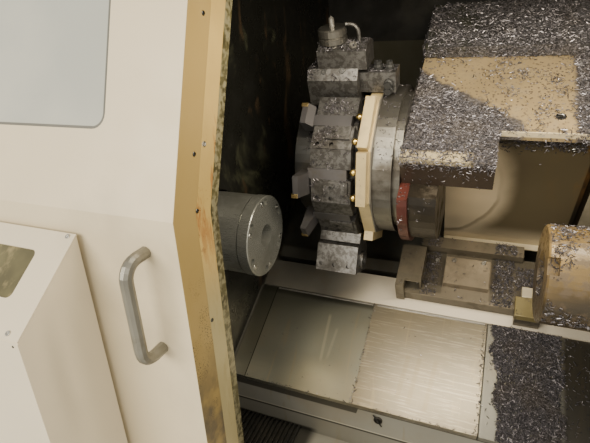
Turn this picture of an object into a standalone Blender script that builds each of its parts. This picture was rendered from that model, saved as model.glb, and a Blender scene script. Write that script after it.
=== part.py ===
# Slant-bed turning lathe with an open sliding door, metres, +Z up.
# Origin: middle of the footprint, on the floor. +X runs along the spindle towards the
# tailstock and -Y is the operator's side.
from math import acos, atan2, cos, hypot, pi, radians, sin, sqrt, tan

import bmesh
import bpy
from mathutils import Matrix, Vector

# Clearances and sheet
GAP = 0.0003
OVERRUN = 0.02
SHEET = 0.003
MERGE = 0.0001
ROUND_STEPS = 48
SMALL_STEPS = 20
ARC_STEPS = 6

# Whole machine
LENGTH = 2.80
BACK_Y = 0.60
BOX_BACK_Y = 0.807
SKIRT_BOTTOM_Z = 0.06
SKIRT_TALL = 0.38
SKIRT_TOP_Z = SKIRT_BOTTOM_Z + SKIRT_TALL
CHAMBER_TALL = 1.36
TOP_Z = SKIRT_TOP_Z + CHAMBER_TALL
SKIRT_FRONT_Y = -0.6497
SKIRT_WALL = 0.004
SILL_BACK_Y = -0.46
SILL_END_INSET = 0.10

# Spindle line and slide slope
SPINDLE_Y = -0.29
SPINDLE_DROP = 0.758
SPINDLE_Z = TOP_Z - SPINDLE_DROP
SLIDE_TILT = radians(30.0)

# Door and front sheet, depths measured inwards from the door's face
DOOR_FACE_Y = -0.64
DOOR_BEND_DROP = 0.58
DOOR_BEND_Z = TOP_Z - DOOR_BEND_DROP
DOOR_LEAN = radians(19.55)
SILL_RAIL_TALL = 0.01
DOOR_BOTTOM_Z = SKIRT_TOP_Z + SILL_RAIL_TALL
DOOR_TOP_INSET = 0.04
DOOR_TOP_Z = TOP_Z - DOOR_TOP_INSET
DOOR_RIGHT_X = -0.3855
DOOR_WIDTH = 0.90
DOOR_SKIN_DEPTH = 0.063
DOOR_LINER_DEPTH = 0.045
DOOR_SEAL_DEPTH = 0.0227
DOOR_SEAL_WIDTH = 0.02
DOOR_EDGE_ROUND = 0.004
RAIL_THICK = 0.0103
PANEL_DEPTH = DOOR_SKIN_DEPTH + DOOR_LINER_DEPTH + DOOR_SEAL_DEPTH + RAIL_THICK
OPENING_LEFT_X = -0.42
OPENING_RIGHT_X = 0.45
OPENING_SILL = 0.14
OPENING_BOTTOM_Z = SKIRT_TOP_Z + OPENING_SILL
OPENING_HEAD = 0.14
OPENING_TOP_Z = TOP_Z - OPENING_HEAD
RAIL_TALL = 0.04
RAIL_TOP_INSET = 0.02
RAIL_TOP_Z = DOOR_TOP_Z - RAIL_TOP_INSET
SILL_RAIL_BACK_Y = -0.575
SILL_RAIL_FRONT_Y = -0.60
RAIL_END_INSET = 0.03

# Door window, placed along the leaning sheet above the bend
WINDOW_SIDE_INSET = 0.153
WINDOW_LOW_SHARE = 0.25
WINDOW_TOP_INSET = 0.063
WINDOW_HIGH = (DOOR_TOP_Z - DOOR_BEND_Z) / cos(DOOR_LEAN) - WINDOW_TOP_INSET
WINDOW_LOW = WINDOW_LOW_SHARE * (WINDOW_HIGH + WINDOW_TOP_INSET)
WINDOW_ROUND = 0.028
WINDOW_LAP = 0.02
WINDOW_PANE = 0.006

# Door handle
HANDLE_X = -0.453
HANDLE_DROP = 0.062
HANDLE_SPAN = 0.198
HANDLE_HIGH_Z = DOOR_BEND_Z - HANDLE_DROP
HANDLE_LOW_Z = HANDLE_HIGH_Z - HANDLE_SPAN
HANDLE_RADIUS = 0.0115
HANDLE_STANDOFF = 0.055
HANDLE_BEND = 0.03

# Gauge cabinet in front of the door
GAUGE_LEFT_X = -0.9555
GAUGE_RIGHT_X = -0.5955
GAUGE_BACK_Y = -0.65
GAUGE_FRONT_Y = -0.807
GAUGE_DROP = 0.043
GAUGE_FALL = 0.123
GAUGE_TOP_Z = DOOR_BEND_Z - GAUGE_DROP
GAUGE_LIP_Z = GAUGE_TOP_Z - GAUGE_FALL
GAUGE_BOTTOM_Z = 0.10
GAUGE_WALL = 0.004
GAUGE_PLATE = 0.003
GAUGE_WINDOW_SIDE = 0.066
GAUGE_WINDOW_TOP = 0.042
GAUGE_WINDOW_LONG = 0.094
GAUGE_WINDOW_ROUND = 0.012
GAUGE_PANE = 0.004
GAUGE_PANE_LAP = 0.012

# Bed, in slide terms: U runs up the slope, V stands square to it, both from the spindle
PLATFORM_LOW_U = -0.235
PLATFORM_HIGH_U = 0.128
PLATFORM_V = -0.3355
PLATFORM_STEP_V = -0.37
TROUGH_V = -0.42
TROUGH_HIGH_U = 0.72
BED_END_ROOM = 0.25
BED_HALF_LENGTH = LENGTH / 2.0 - BED_END_ROOM
BED_BACK_Y = 0.56
BED_FOOT_Z = 0.05
BED_RIB = 0.035
BED_BAYS = 4
BED_DECK = 0.09
BED_WALL = 0.05

# Levelling feet
FOOT_RADIUS = 0.05
FOOT_PAD = 0.018
FOOT_STUD_RADIUS = 0.016
FOOT_INSET = 0.10
FOOT_X = BED_HALF_LENGTH - FOOT_INSET
FOOT_FRONT_Y = -0.283
FOOT_BACK_Y = 0.535

# Chamber end walls
BULKHEAD_X = -0.53
END_WALL_INSET = 0.451
END_WALL_X = LENGTH / 2.0 - END_WALL_INSET
BULKHEAD_HOLE = 0.101
WALL_ROOM = 0.01

# Way covers and slideway strip
COVER_SHEET = 0.0032
COVER_LOW_U = -0.2443
COVER_HIGH_U = 0.0365
COVER_LIP_V = -0.357
COVER_LEFT_X = BULKHEAD_X + WALL_ROOM
COVER_SEAM_X = -0.175
COVER_RIGHT_X = 0.119
COVER_END_X = END_WALL_X - WALL_ROOM
COVER_SEAM_GAP = 0.0005
COVER_RAISE = 0.003
CHIP_PLATE_GAP = 0.0035
LEDGE_LOW_U = 0.0375
LEDGE_TOP_V = -0.3262

# Box ways and screw in the trough
RAIL_LEFT_X = COVER_LEFT_X
RAIL_RIGHT_X = COVER_END_X
TAIL_RAIL_U = 0.165
TAIL_RAIL_WIDE = 0.04
TAIL_RAIL_V = -0.36
Z_RAIL_LOW_U = 0.36
Z_RAIL_HIGH_U = 0.62
Z_RAIL_WIDE = 0.04
Z_RAIL_V = -0.385
SCREW_U = 0.51
SCREW_V = -0.3965
SCREW_RADIUS = 0.02
SCREW_LEFT_X = -0.45
SCREW_BLOCK_LONG = 0.03
SCREW_BLOCK_HALF = 0.04
SCREW_BLOCK_TOP_V = -0.36
SERVO_LONG = 0.20
SERVO_HALF = 0.06
SERVO_TOP_V = -0.30
SERVO_ROOM = 0.049
SCREW_RIGHT_X = END_WALL_X - SERVO_ROOM - SERVO_LONG

# Headstock, spindle and its drive
ACTUATOR_ROOM = 0.06
ACTUATOR_LONG = 0.175
PULLEY_INSET = 0.02
PULLEY_WIDE = 0.05
PULLEY_ROOM = 0.045
ACTUATOR_LEFT_X = ACTUATOR_ROOM - LENGTH / 2.0
SHAFT_LEFT_X = ACTUATOR_LEFT_X + ACTUATOR_LONG
PULLEY_LEFT_X = SHAFT_LEFT_X + PULLEY_INSET
PULLEY_RIGHT_X = PULLEY_LEFT_X + PULLEY_WIDE
HEAD_LEFT_X = PULLEY_RIGHT_X + PULLEY_ROOM
HEAD_RIGHT_X = -0.60
HEAD_LOW_U = -0.14
HEAD_HIGH_V = 0.125
HEAD_EDGE = 0.02
HEAD_FLANGE = 0.025
HEAD_FLANGE_RADIUS = 0.095
CARTRIDGE_RADIUS = 0.08
CARTRIDGE_INSET = 0.01
SHAFT_RADIUS = 0.05
SHAFT_RIGHT_X = -0.56
SHAFT_NOSE_LONG = 0.012
SHAFT_NOSE_RADIUS = 0.075
PULLEY_RADIUS = 0.09
BELT_INSET = 0.007
BELT_THICK = 0.008
BELT_STEPS = 24
MOTOR_U = 0.30
MOTOR_HALF = 0.115
MOTOR_V = TROUGH_V + MOTOR_HALF + GAP
MOTOR_INSET = 0.03
MOTOR_LEFT_X = HEAD_LEFT_X + MOTOR_INSET
MOTOR_RIGHT_X = HEAD_RIGHT_X - 2.0 * MOTOR_INSET
MOTOR_FINS = 7
MOTOR_FIN_DEEP = 0.012
MOTOR_PULLEY_RADIUS = 0.06
MOTOR_SHAFT_RADIUS = 0.02
ACTUATOR_RADIUS = 0.085
ACTUATOR_WAIST = 0.055
TUBE_ROOM = 0.008

# Collet chuck
CHUCK_FACE_X = -0.40
CHUCK_NOSE_LONG = 0.03
CHUCK_NOSE_RADIUS = 0.098
CHUCK_NOSE_BEVEL = 0.002
CHUCK_RADIUS = 0.0965
CHUCK_GROOVE = 0.004
CHUCK_BORE = 0.0285
CHUCK_CAVITY_RADIUS = 0.042
CHUCK_CAVITY_LEFT_X = -0.512
SCREW_CIRCLE = 0.084
SCREW_HOLE = 0.0085
SCREW_HOLE_DEEP = 0.009
SCREW_COUNT = 6
SCREW_FIRST = radians(37.0)
COLLET_LEFT_X = -0.506
COLLET_FACE_X = -0.4303
COLLET_BORE = 0.018
COLLET_SLIT = 0.002
TUBE_LEFT_X = SHAFT_LEFT_X + PULLEY_INSET / 2.0
TUBE_RADIUS = 0.022
TUBE_BORE = 0.016

# Saddle on the Z rails
SADDLE_LEFT_X = -0.02
SADDLE_RIGHT_X = 0.42
SADDLE_LOW_U = 0.32
SADDLE_HIGH_U = 0.70
SADDLE_LOW_V = -0.40
SADDLE_TOP_V = -0.345
X_RAIL_V = -0.315
X_RAIL_WIDE = 0.04
X_RAIL_LEFT_X = 0.06
X_RAIL_RIGHT_X = 0.32
X_SERVO_HALF = 0.06
X_SERVO_HIGH_U = 0.78
X_SERVO_TOP_V = -0.28

# Cross slide, its covers and the fixed upper cover
SLIDE_LEFT_X = -0.02
SLIDE_RIGHT_X = 0.40
SLIDE_LOW_U = 0.2953
SLIDE_HIGH_U = 0.575
SLIDE_TOP_V = 0.1392
FRONT_PLATE_U = 0.2905
FRONT_PLATE_RIGHT_X = 0.29
FRONT_PLATE_LOW_V = X_RAIL_V + GAP
FRONT_PLATE_FLANGE = 0.018
COVER_BACK_LEFT_X = -0.1015
COVER_BACK_RIGHT_X = 0.45
COVER_BACK_LOW_U = 0.24
COVER_BACK_V = 0.1425
COVER_BACK_LIP = 0.022
STEP_RIGHT_X = 0.088
STEP_LOW_U = 0.144
STEP_LIP_V = 0.068
UPPER_LEFT_X = COVER_BACK_LEFT_X
UPPER_RIGHT_X = 0.46
UPPER_LOW_U = 0.50
UPPER_HIGH_U = 0.6995
UPPER_V = 0.173
UPPER_WALL_LEFT_X = 0.01

# Turret
TURRET_U = 0.282
STATIONS = 10
STATION_FIRST = radians(-34.7)
HOUSING_LEFT_X = -0.08
HOUSING_RIGHT_X = SLIDE_LEFT_X - GAP
HOUSING_RADIUS = 0.19
HOUSING_BLOCK_RIGHT_X = 0.085
HOUSING_BLOCK_U = 0.15
HOUSING_BLOCK_V = STEP_LIP_V
RING_LEFT_X = -0.1022
RING_STEP = 0.01
RING_RADIUS = HOUSING_RADIUS + RING_STEP
SPIGOT_RADIUS = 0.08
SPIGOT_RIGHT_X = -0.055
DRUM_LEFT_X = -0.1617
DRUM_STEP_X = -0.119
DRUM_RADIUS = 0.181
DRUM_GROOVE = 0.168
DISC_LEFT_X = -0.2867
DISC_STEP_X = -0.1913
DISC_FLAT = 0.165
RING_FLAT = 0.185
DISC_FACE_X = -0.36
DISC_FACE_STEP = 0.015
DISC_FACE_RADIUS = DISC_FLAT - DISC_FACE_STEP
DISC_HUB_RADIUS = 0.06
DISC_HUB_DEEP = 0.008
BAR_LEFT_X = -0.1905
BAR_RIGHT_X = -0.1685
BAR_OUTER = 0.207
BAR_HALF = 0.061
BAR_STATIONS = (9, 1, 2)
NOZZLE_X = -0.1985
NOZZLE_RADIUS = 0.0072
NOZZLE_OUT = 0.197
NOZZLE_SIDES = (0.014, -0.045)

# Turning holders and tools, radial sizes from the turret's axis, the rest across the station
HOLDER_LEFT_X = -0.30
HOLDER_RIGHT_X = -0.2055
HOLDER_OUTER = 0.195
HOLDER_SPLIT = 0.0005
SQUARE_STATIONS = (0, 1, 2)
SLOT_LOW = -0.008
SLOT_HIGH = 0.018
SLOT_FLOOR = 0.171
CLAMP_LEFT_X = -0.268
CLAMP_RIGHT_X = -0.212
CLAMP_LOW = -0.041
CLAMP_HIGH = -0.010
CLAMP_OUTER = 0.201
CLAMP_HOLE = 0.005
CLAMP_HOLE_DEEP = 0.008
CLAMP_HOLE_SHARE = 0.3
LAND_HOLE_SHARES = (0.15, 0.5)
HOLE_STEPS = 8
TOOL_LEFT_X = -0.33
TOOL_NECK_X = -0.304
TOOL_RIGHT_X = -0.215
TOOL_OUTER = 0.196
TOOL_HEADS = ((-0.030, 0.006, 0.238), (-0.045, 0.006, 0.234), (-0.012, 0.037, 0.214))

# Boring holder: a foot on the disc, a neck and a deep head with its bore
BORING_STATION = 9
BORING_LEFT_X = -0.312
BORING_RIGHT_X = -0.205
BORING_NECK_HALF = 0.035
BORING_NECK_OUT = 0.222
BORING_SHOULDER_OUT = 0.23
BORING_HEAD_HALF = 0.05
BORING_HEAD_OUT = 0.30
BORING_AXIS_OUT = 0.266
BORING_RADIUS = 0.0125
BORING_REACH = 0.005
BORING_SCREW = 0.0055
BORING_SCREW_SHARES = (0.12, 0.45, 0.8)
BORING_BOSS_RADIUS = 0.024
BORING_BOSS_LONG = 0.008

# Driven drill holder at the top station
DRIVEN_STATION = 3
DRIVEN_LEFT_X = -0.333
DRIVEN_RIGHT_X = -0.215
DRIVEN_FOOT_HALF = 0.046
DRIVEN_FLANGE_HALF = 0.05
DRIVEN_FLANGE_OUT = 0.228
DRIVEN_DECK_OUT = 0.25
DRIVEN_BODY_LEFT_X = -0.308
DRIVEN_BODY_RIGHT_X = -0.1955
DRIVEN_BODY_HALF = 0.035
DRIVEN_TOP_HALF = 0.015
DRIVEN_BODY_OUT = 0.298
DRIVEN_SHOULDER_TALL = 0.011
DRIVEN_SHOULDER = DRIVEN_BODY_OUT - DRIVEN_SHOULDER_TALL
DRIVEN_X = -0.278
DRIVE_RIGHT_X = -0.135
DRIVE_LOW_OUT = 0.19
DRIVE_OUT = 0.236
DRIVE_HALF = 0.024
NUT_RADIUS = 0.032
NUT_GROOVE = 0.003
NUT_TALL = 0.032
NUT_OUT = DRIVEN_BODY_OUT + NUT_TALL
DRILL_RADIUS = 0.006
DRILL_SHOWN = 0.024
DRILL_OUT = NUT_OUT + DRILL_SHOWN
PIPE_X = -0.218
PIPE_RADIUS = 0.0042
PIPE_STEP = 0.005
PIPE_RISE = NUT_OUT + PIPE_STEP
PIPE_BEND = 0.02
PIPE_REACH = 0.008

# Tailstock
BASE_LEFT_X = -0.10
BASE_RIGHT_X = 0.58
BASE_LOW_U = 0.07
BASE_HIGH_U = 0.22
BASE_TOP_V = -0.29
BASE_SKIRT = 0.0147
BASE_SKIRT_V = -0.40
PAD_LEFT_X = 0.0
PAD_RIGHT_X = 0.112
PAD_LOW_U = 0.105
PAD_HIGH_U = 0.19
PAD_TOP_V = -0.272
WIPER_LEFT_X = -0.119
WIPER_LOW_U = 0.064
WIPER_HIGH_U = 0.20
WIPER_TOP_V = -0.252
WIPER_FOLD_X = -0.055
BAR_GUIDE_LEFT_X = -0.07
BAR_GUIDE_RIGHT_X = 0.19
BAR_GUIDE_LOW_U = 0.21
BAR_GUIDE_HIGH_U = 0.245
BAR_GUIDE_LOW_V = -0.285
BAR_GUIDE_TOP_V = -0.262
CLAMP_BLOCK_LEFT_X = 0.178
CLAMP_BLOCK_RIGHT_X = 0.236
CLAMP_BLOCK_LOW_U = 0.045
CLAMP_BLOCK_HIGH_U = 0.095
CLAMP_BLOCK_TOP_V = -0.27
BARREL_LEFT_X = 0.19
BARREL_RIGHT_X = 0.60
BARREL_RADIUS = 0.096
BARREL_BEVEL = 0.003
PEDESTAL_LEFT_X = 0.235
PEDESTAL_RIGHT_X = 0.56
NOTCH_ANGLE = radians(36.0)
NOTCH_LONG = 0.018
NOTCH_HALF = 0.016
NOTCH_DEEP = 0.016
QUILL_RADIUS = 0.045
QUILL_LEFT_X = 0.2235
QUILL_RIGHT_X = 0.55
QUILL_SOCKET_RADIUS = 0.02
QUILL_SOCKET_DEEP = 0.05
CENTRE_TIP_X = 0.1935
CENTRE_STEM_RADIUS = 0.0196
CENTRE_HEAD_RADIUS = 0.026
CENTRE_HEAD_X = 0.2195

# Chip trough
TROUGH_END_ROOM = 0.001
TROUGH_LEFT_X = BULKHEAD_X + TROUGH_END_ROOM
TROUGH_RISE = 0.03
TROUGH_FRONT_TALL = 0.09
TROUGH_BACK_TALL = 0.13
TROUGH_BOTTOM_Z = SKIRT_TOP_Z + TROUGH_RISE
TROUGH_FRONT_Z = TROUGH_BOTTOM_Z + TROUGH_FRONT_TALL
TROUGH_BACK_Z = TROUGH_BOTTOM_Z + TROUGH_BACK_TALL
BULKHEAD_LOW_Z = TROUGH_BACK_Z + WALL_ROOM

# Operator panel
PANEL_INSET = 0.30
PANEL_WIDE = 0.48
PANEL_TALL = 0.37
PANEL_DROP = 0.05
PANEL_RIGHT_X = LENGTH / 2.0 - PANEL_INSET
PANEL_LEFT_X = PANEL_RIGHT_X - PANEL_WIDE
PANEL_HIGH_Z = DOOR_BEND_Z - PANEL_DROP
PANEL_LOW_Z = PANEL_HIGH_Z - PANEL_TALL
PANEL_THICK = 0.11
PANEL_EDGE = 0.008
PANEL_MARGIN = 0.03
SCREEN_WIDE = 0.23
SCREEN_TALL = 0.155
SCREEN_DEEP = 0.004
SCREEN_LEFT_X = PANEL_LEFT_X + PANEL_MARGIN
SCREEN_RIGHT_X = SCREEN_LEFT_X + SCREEN_WIDE
SCREEN_HIGH_Z = PANEL_HIGH_Z - PANEL_MARGIN
SCREEN_LOW_Z = SCREEN_HIGH_Z - SCREEN_TALL
KEYS_COLUMNS = 7
KEYS_ROWS = 4
KEYS_LEFT_X = PANEL_LEFT_X + PANEL_MARGIN
KEYS_LOW_Z = PANEL_LOW_Z + PANEL_MARGIN
KEY_PITCH = 0.033
KEY_SIZE = 0.024
KEY_RISE = 0.002
STOP_INSET = 0.08
STOP_X = PANEL_RIGHT_X - STOP_INSET
STOP_Z = PANEL_HIGH_Z - STOP_INSET
STOP_RADIUS = 0.02
STOP_STEM = 0.009
STOP_CAP = 0.016
STOP_STANDOFF = 0.008
START_SIDE = 0.15
START_RAISE = 0.07
START_X = PANEL_RIGHT_X - START_SIDE
START_Z = PANEL_LOW_Z + START_RAISE
START_RADIUS = 0.011
START_RISE = 0.007
BUTTON_DEEP = 0.02

# Electrical cabinet on the back
CUBICLE_INSET = 0.15
CUBICLE_WIDE = 1.0
CUBICLE_RIGHT_X = LENGTH / 2.0 - CUBICLE_INSET
CUBICLE_LEFT_X = CUBICLE_RIGHT_X - CUBICLE_WIDE
CUBICLE_RAISE = 0.06
CUBICLE_TOP_INSET = 0.20
CUBICLE_LOW_Z = SKIRT_TOP_Z + CUBICLE_RAISE
CUBICLE_HIGH_Z = TOP_Z - CUBICLE_TOP_INSET
CUBICLE_BACK_Y = 0.785
CUBICLE_DOOR = 0.0145
HINGE_RADIUS = 0.007
HINGE_LONG = 0.10
HINGE_INSET = 0.15
HINGE_OUT = 0.010
LATCH_WIDE = 0.03
LATCH_TALL = 0.12
LATCH_INSET = 0.05

BODY_ANGLE = 2.0 * pi


# Scene set-up
for old in list(bpy.data.objects):
    bpy.data.objects.remove(old, do_unlink=True)

machine = bpy.data.collections.new("turning_lathe")
bpy.context.scene.collection.children.link(machine)
cutters = bpy.data.collections.new("cutters")
bpy.context.scene.collection.children.link(cutters)


# Materials
def finish(name, color, roughness, metallic):
    material = bpy.data.materials.new(name)
    material.use_nodes = True
    shader = material.node_tree.nodes["Principled BSDF"]
    shader.inputs["Base Color"].default_value = (*color, 1.0)
    shader.inputs["Roughness"].default_value = roughness
    shader.inputs["Metallic"].default_value = metallic
    material.diffuse_color = (*color, 1.0)
    return material


CREAM = finish("cream_paint", (0.72, 0.68, 0.58), 0.45, 0.0)
GREY = finish("grey_paint", (0.30, 0.31, 0.32), 0.5, 0.0)
DARK = finish("dark_paint", (0.03, 0.03, 0.03), 0.5, 0.0)
RED = finish("red_paint", (0.30, 0.06, 0.05), 0.5, 0.0)
BROWN = finish("oiled_iron", (0.12, 0.09, 0.06), 0.5, 0.4)
IRON = finish("cast_iron", (0.20, 0.21, 0.21), 0.6, 0.6)
STEEL = finish("ground_steel", (0.45, 0.44, 0.42), 0.3, 1.0)
STAINLESS = finish("brushed_stainless", (0.55, 0.51, 0.43), 0.35, 1.0)
BLACK_STEEL = finish("black_steel", (0.06, 0.06, 0.06), 0.4, 0.8)
GLASS = finish("clear_pane", (0.60, 0.64, 0.64), 0.1, 0.0)
RUBBER = finish("olive_rubber", (0.12, 0.11, 0.05), 0.7, 0.0)
STRAW = finish("stained_liner", (0.50, 0.36, 0.14), 0.5, 0.0)
STOP_RED = finish("stop_red", (0.60, 0.03, 0.02), 0.4, 0.0)
GREEN = finish("start_green", (0.05, 0.35, 0.10), 0.4, 0.0)
COPPER = finish("yellow_bar", (0.60, 0.50, 0.34), 0.4, 0.3)


# Frames that carry the pieces
def empty(name, place=(0.0, 0.0, 0.0), parent=None, turn_x=0.0):
    holder = bpy.data.objects.new(name, None)
    machine.objects.link(holder)
    holder.location = place
    holder.rotation_euler = (turn_x, 0.0, 0.0)
    holder.parent = parent
    return holder


floor_frame = empty("floor_frame")
slide_frame = empty("slide_frame", (0.0, SPINDLE_Y, SPINDLE_Z), floor_frame, SLIDE_TILT)
spindle_frame = empty("spindle_axis", (0.0, 0.0, 0.0), slide_frame)
motor_frame = empty("motor_axis", (0.0, MOTOR_U, MOTOR_V), slide_frame)
carriage_frame = empty("carriage_line", (0.0, 0.0, 0.0), slide_frame)
cross_frame = empty("cross_slide_line", (0.0, 0.0, 0.0), carriage_frame)
turret_frame = empty("turret_axis", (0.0, TURRET_U, 0.0), cross_frame)
tail_frame = empty("tailstock_line", (0.0, 0.0, 0.0), slide_frame)
quill_frame = empty("quill_line", (0.0, 0.0, 0.0), tail_frame)
door_frame = empty("door_line", (0.0, 0.0, 0.0), floor_frame)
lean_frame = empty("door_lean", (0.0, DOOR_FACE_Y, DOOR_BEND_Z), door_frame, -DOOR_LEAN)


SLIDE_TO_FLOOR = Matrix.Translation((0.0, SPINDLE_Y, SPINDLE_Z)) @ Matrix.Rotation(SLIDE_TILT, 4, "X")


# Points and outlines
def slope_point(u, v):
    """World (y, z) of a point given up the slope (u) and square to it (v)."""
    return (SPINDLE_Y + u * cos(SLIDE_TILT) - v * sin(SLIDE_TILT),
            SPINDLE_Z + u * sin(SLIDE_TILT) + v * cos(SLIDE_TILT))


def front_point(depth, z):
    """World (y, z) at a depth behind the door's bent face, at a height."""
    bend_z = DOOR_BEND_Z - depth * tan(DOOR_LEAN / 2.0)
    if z <= bend_z:
        return (DOOR_FACE_Y + depth, z)
    return (DOOR_FACE_Y + depth + (z - bend_z) * tan(DOOR_LEAN), z)


def front_strip(near, far, low_z, high_z):
    """Outline of a bent sheet that follows the door's face between two depths."""
    bends = [(DOOR_FACE_Y + depth, DOOR_BEND_Z - depth * tan(DOOR_LEAN / 2.0)) for depth in (near, far)]
    return [front_point(near, low_z), front_point(far, low_z), bends[1],
            front_point(far, high_z), front_point(near, high_z), bends[0]]


def rectangle(low, high):
    return [(low[0], low[1]), (high[0], low[1]), (high[0], high[1]), (low[0], high[1])]


def rounded(low, high, radius):
    corners = [(high[0] - radius, high[1] - radius, 0.0), (low[0] + radius, high[1] - radius, 0.5),
               (low[0] + radius, low[1] + radius, 1.0), (high[0] - radius, low[1] + radius, 1.5)]
    points = []
    for cx, cy, start in corners:
        for step in range(ARC_STEPS + 1):
            angle = pi * (start + 0.5 * step / ARC_STEPS)
            points.append((cx + radius * cos(angle), cy + radius * sin(angle)))
    return points


def bore(radius, steps=ROUND_STEPS):
    """Corner radius of a faceted hole whose flats clear a round of this radius."""
    return (radius + GAP) / cos(pi / steps)


# Building tools
def evaluated_mesh(helper):
    bpy.context.view_layer.update()
    graph = bpy.context.evaluated_depsgraph_get()
    mesh = bpy.data.meshes.new_from_object(helper.evaluated_get(graph))
    mesh.transform(helper.matrix_basis)
    bm = bmesh.new()
    bm.from_mesh(mesh)
    bmesh.ops.remove_doubles(bm, verts=bm.verts, dist=MERGE)
    bm.to_mesh(mesh)
    bm.free()
    bpy.data.objects.remove(helper, do_unlink=True)
    return mesh


def helper_object(name, data):
    helper = bpy.data.objects.new(name, data)
    bpy.context.scene.collection.objects.link(helper)
    return helper


def box(low, high):
    bm = bmesh.new()
    bmesh.ops.create_cube(bm, size=1.0)
    size = Vector(high) - Vector(low)
    middle = (Vector(high) + Vector(low)) / 2.0
    bmesh.ops.scale(bm, vec=size, verts=bm.verts)
    bmesh.ops.translate(bm, vec=middle, verts=bm.verts)
    mesh = bpy.data.meshes.new("box")
    bm.to_mesh(mesh)
    bm.free()
    return mesh


def outline_solid(outlines, thickness, matrix):
    """Flat outline (with any holes after it) made thick, then laid out by a matrix."""
    curve = bpy.data.curves.new("outline", "CURVE")
    curve.dimensions = "2D"
    curve.fill_mode = "BOTH"
    curve.extrude = thickness / 2.0
    for points in outlines:
        spline = curve.splines.new("POLY")
        spline.points.add(len(points) - 1)
        for target, point in zip(spline.points, points):
            target.co = (point[0], point[1], 0.0, 1.0)
        spline.use_cyclic_u = True
    mesh = evaluated_mesh(helper_object("outline", curve))
    mesh.transform(matrix)
    return mesh


# An outline drawn in (Y, Z) and run along X
ALONG_X = Matrix(((0.0, 0.0, 1.0, 0.0), (1.0, 0.0, 0.0, 0.0), (0.0, 1.0, 0.0, 0.0), (0.0, 0.0, 0.0, 1.0)))
# An outline drawn in (X, Z) and run along Y
ALONG_Y = Matrix(((1.0, 0.0, 0.0, 0.0), (0.0, 0.0, -1.0, 0.0), (0.0, 1.0, 0.0, 0.0), (0.0, 0.0, 0.0, 1.0)))


def along_x(outline, left, right, holes=()):
    middle = Matrix.Translation(((left + right) / 2.0, 0.0, 0.0))
    return outline_solid([outline, *holes], right - left, middle @ ALONG_X)


def along_y(outline, front, back):
    middle = Matrix.Translation((0.0, (front + back) / 2.0, 0.0))
    return outline_solid([outline], back - front, middle @ ALONG_Y)


def turned(profile, steps=ROUND_STEPS, axis="X", closed=False):
    """Profile of (radius, height), top to bottom down its outer side, turned about an axis."""
    mesh = bpy.data.meshes.new("profile")
    points = [(radius, 0.0, height) for radius, height in profile]
    edges = [(index, index + 1) for index in range(len(points) - 1)]
    if closed:
        edges.append((len(points) - 1, 0))
    mesh.from_pydata(points, edges, [])
    helper = helper_object("turned", mesh)
    screw = helper.modifiers.new("screw", "SCREW")
    screw.steps = steps
    screw.render_steps = steps
    screw.use_merge_vertices = True
    screw.merge_threshold = MERGE
    solid = evaluated_mesh(helper)
    if axis == "X":
        solid.transform(Matrix.Rotation(pi / 2.0, 4, "Y"))
    if axis == "Y":
        solid.transform(Matrix.Rotation(-pi / 2.0, 4, "X"))
    return solid


def rod(radius, left, right, steps=ROUND_STEPS):
    return turned([(0.0, right), (radius, right), (radius, left), (0.0, left)], steps)


def ring(outer, inner, left, right, steps=ROUND_STEPS):
    return turned([(inner, right), (outer, right), (outer, left), (inner, left)], steps, closed=True)


def moved(mesh, offset, angle=0.0):
    """Mesh shifted, then turned about X."""
    mesh.transform(Matrix.Rotation(angle, 4, "X") @ Matrix.Translation(offset))
    return mesh


def together(meshes):
    """Separate closed shapes held in one mesh, used as one tool."""
    bm = bmesh.new()
    for mesh in meshes:
        bm.from_mesh(mesh)
    result = bpy.data.meshes.new("together")
    bm.to_mesh(result)
    bm.free()
    return result


def station_angle(index):
    """Turn about X that brings a shape built on +V to a turret station."""
    return pi / 2.0 - (STATION_FIRST + index * BODY_ANGLE / STATIONS) - SLIDE_TILT


def piece(name, material, frame, meshes):
    """One node from closed meshes, its origin at the middle of the shapes it is made of."""
    bm = bmesh.new()
    for mesh in meshes:
        bm.from_mesh(mesh)
    corners = [vertex.co for vertex in bm.verts]
    low = Vector([min(corner[axis] for corner in corners) for axis in range(3)])
    high = Vector([max(corner[axis] for corner in corners) for axis in range(3)])
    middle = (low + high) / 2.0
    bmesh.ops.translate(bm, vec=-middle, verts=bm.verts)
    data = bpy.data.meshes.new(name)
    bm.to_mesh(data)
    bm.free()
    data.materials.append(material)
    node = bpy.data.objects.new(name, data)
    machine.objects.link(node)
    node.location = middle
    node.parent = frame
    return node


def boolean(node, mesh, operation="DIFFERENCE"):
    cutter = bpy.data.objects.new(node.name + "_tool", mesh)
    cutters.objects.link(cutter)
    cutter.parent = node.parent
    cutter.hide_render = True
    cutter.display_type = "WIRE"
    modifier = node.modifiers.new("cut", "BOOLEAN")
    modifier.operation = operation
    modifier.object = cutter
    modifier.solver = "EXACT"
    return node


def cut(node, *meshes):
    for mesh in meshes:
        boolean(node, mesh)
    return node


def join(node, *meshes):
    for mesh in meshes:
        boolean(node, mesh, "UNION")
    return node


def round_edges(node, width, segments=2):
    bevel = node.modifiers.new("round", "BEVEL")
    bevel.width = width
    bevel.segments = segments
    bevel.limit_method = "ANGLE"
    return node


def smooth(node):
    node.data.shade_smooth()
    node.data.set_sharp_from_angle(angle=radians(35.0))
    return node


def merged(meshes):
    """Several closed shapes joined into one closed mesh."""
    first = helper_object("merged", meshes[0])
    tools = []
    for mesh in meshes[1:]:
        tool = helper_object("tool", mesh)
        tools.append(tool)
        modifier = first.modifiers.new("join", "BOOLEAN")
        modifier.operation = "UNION"
        modifier.object = tool
        modifier.solver = "EXACT"
    result = evaluated_mesh(first)
    for tool in tools:
        bpy.data.objects.remove(tool, do_unlink=True)
    return result


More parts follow.
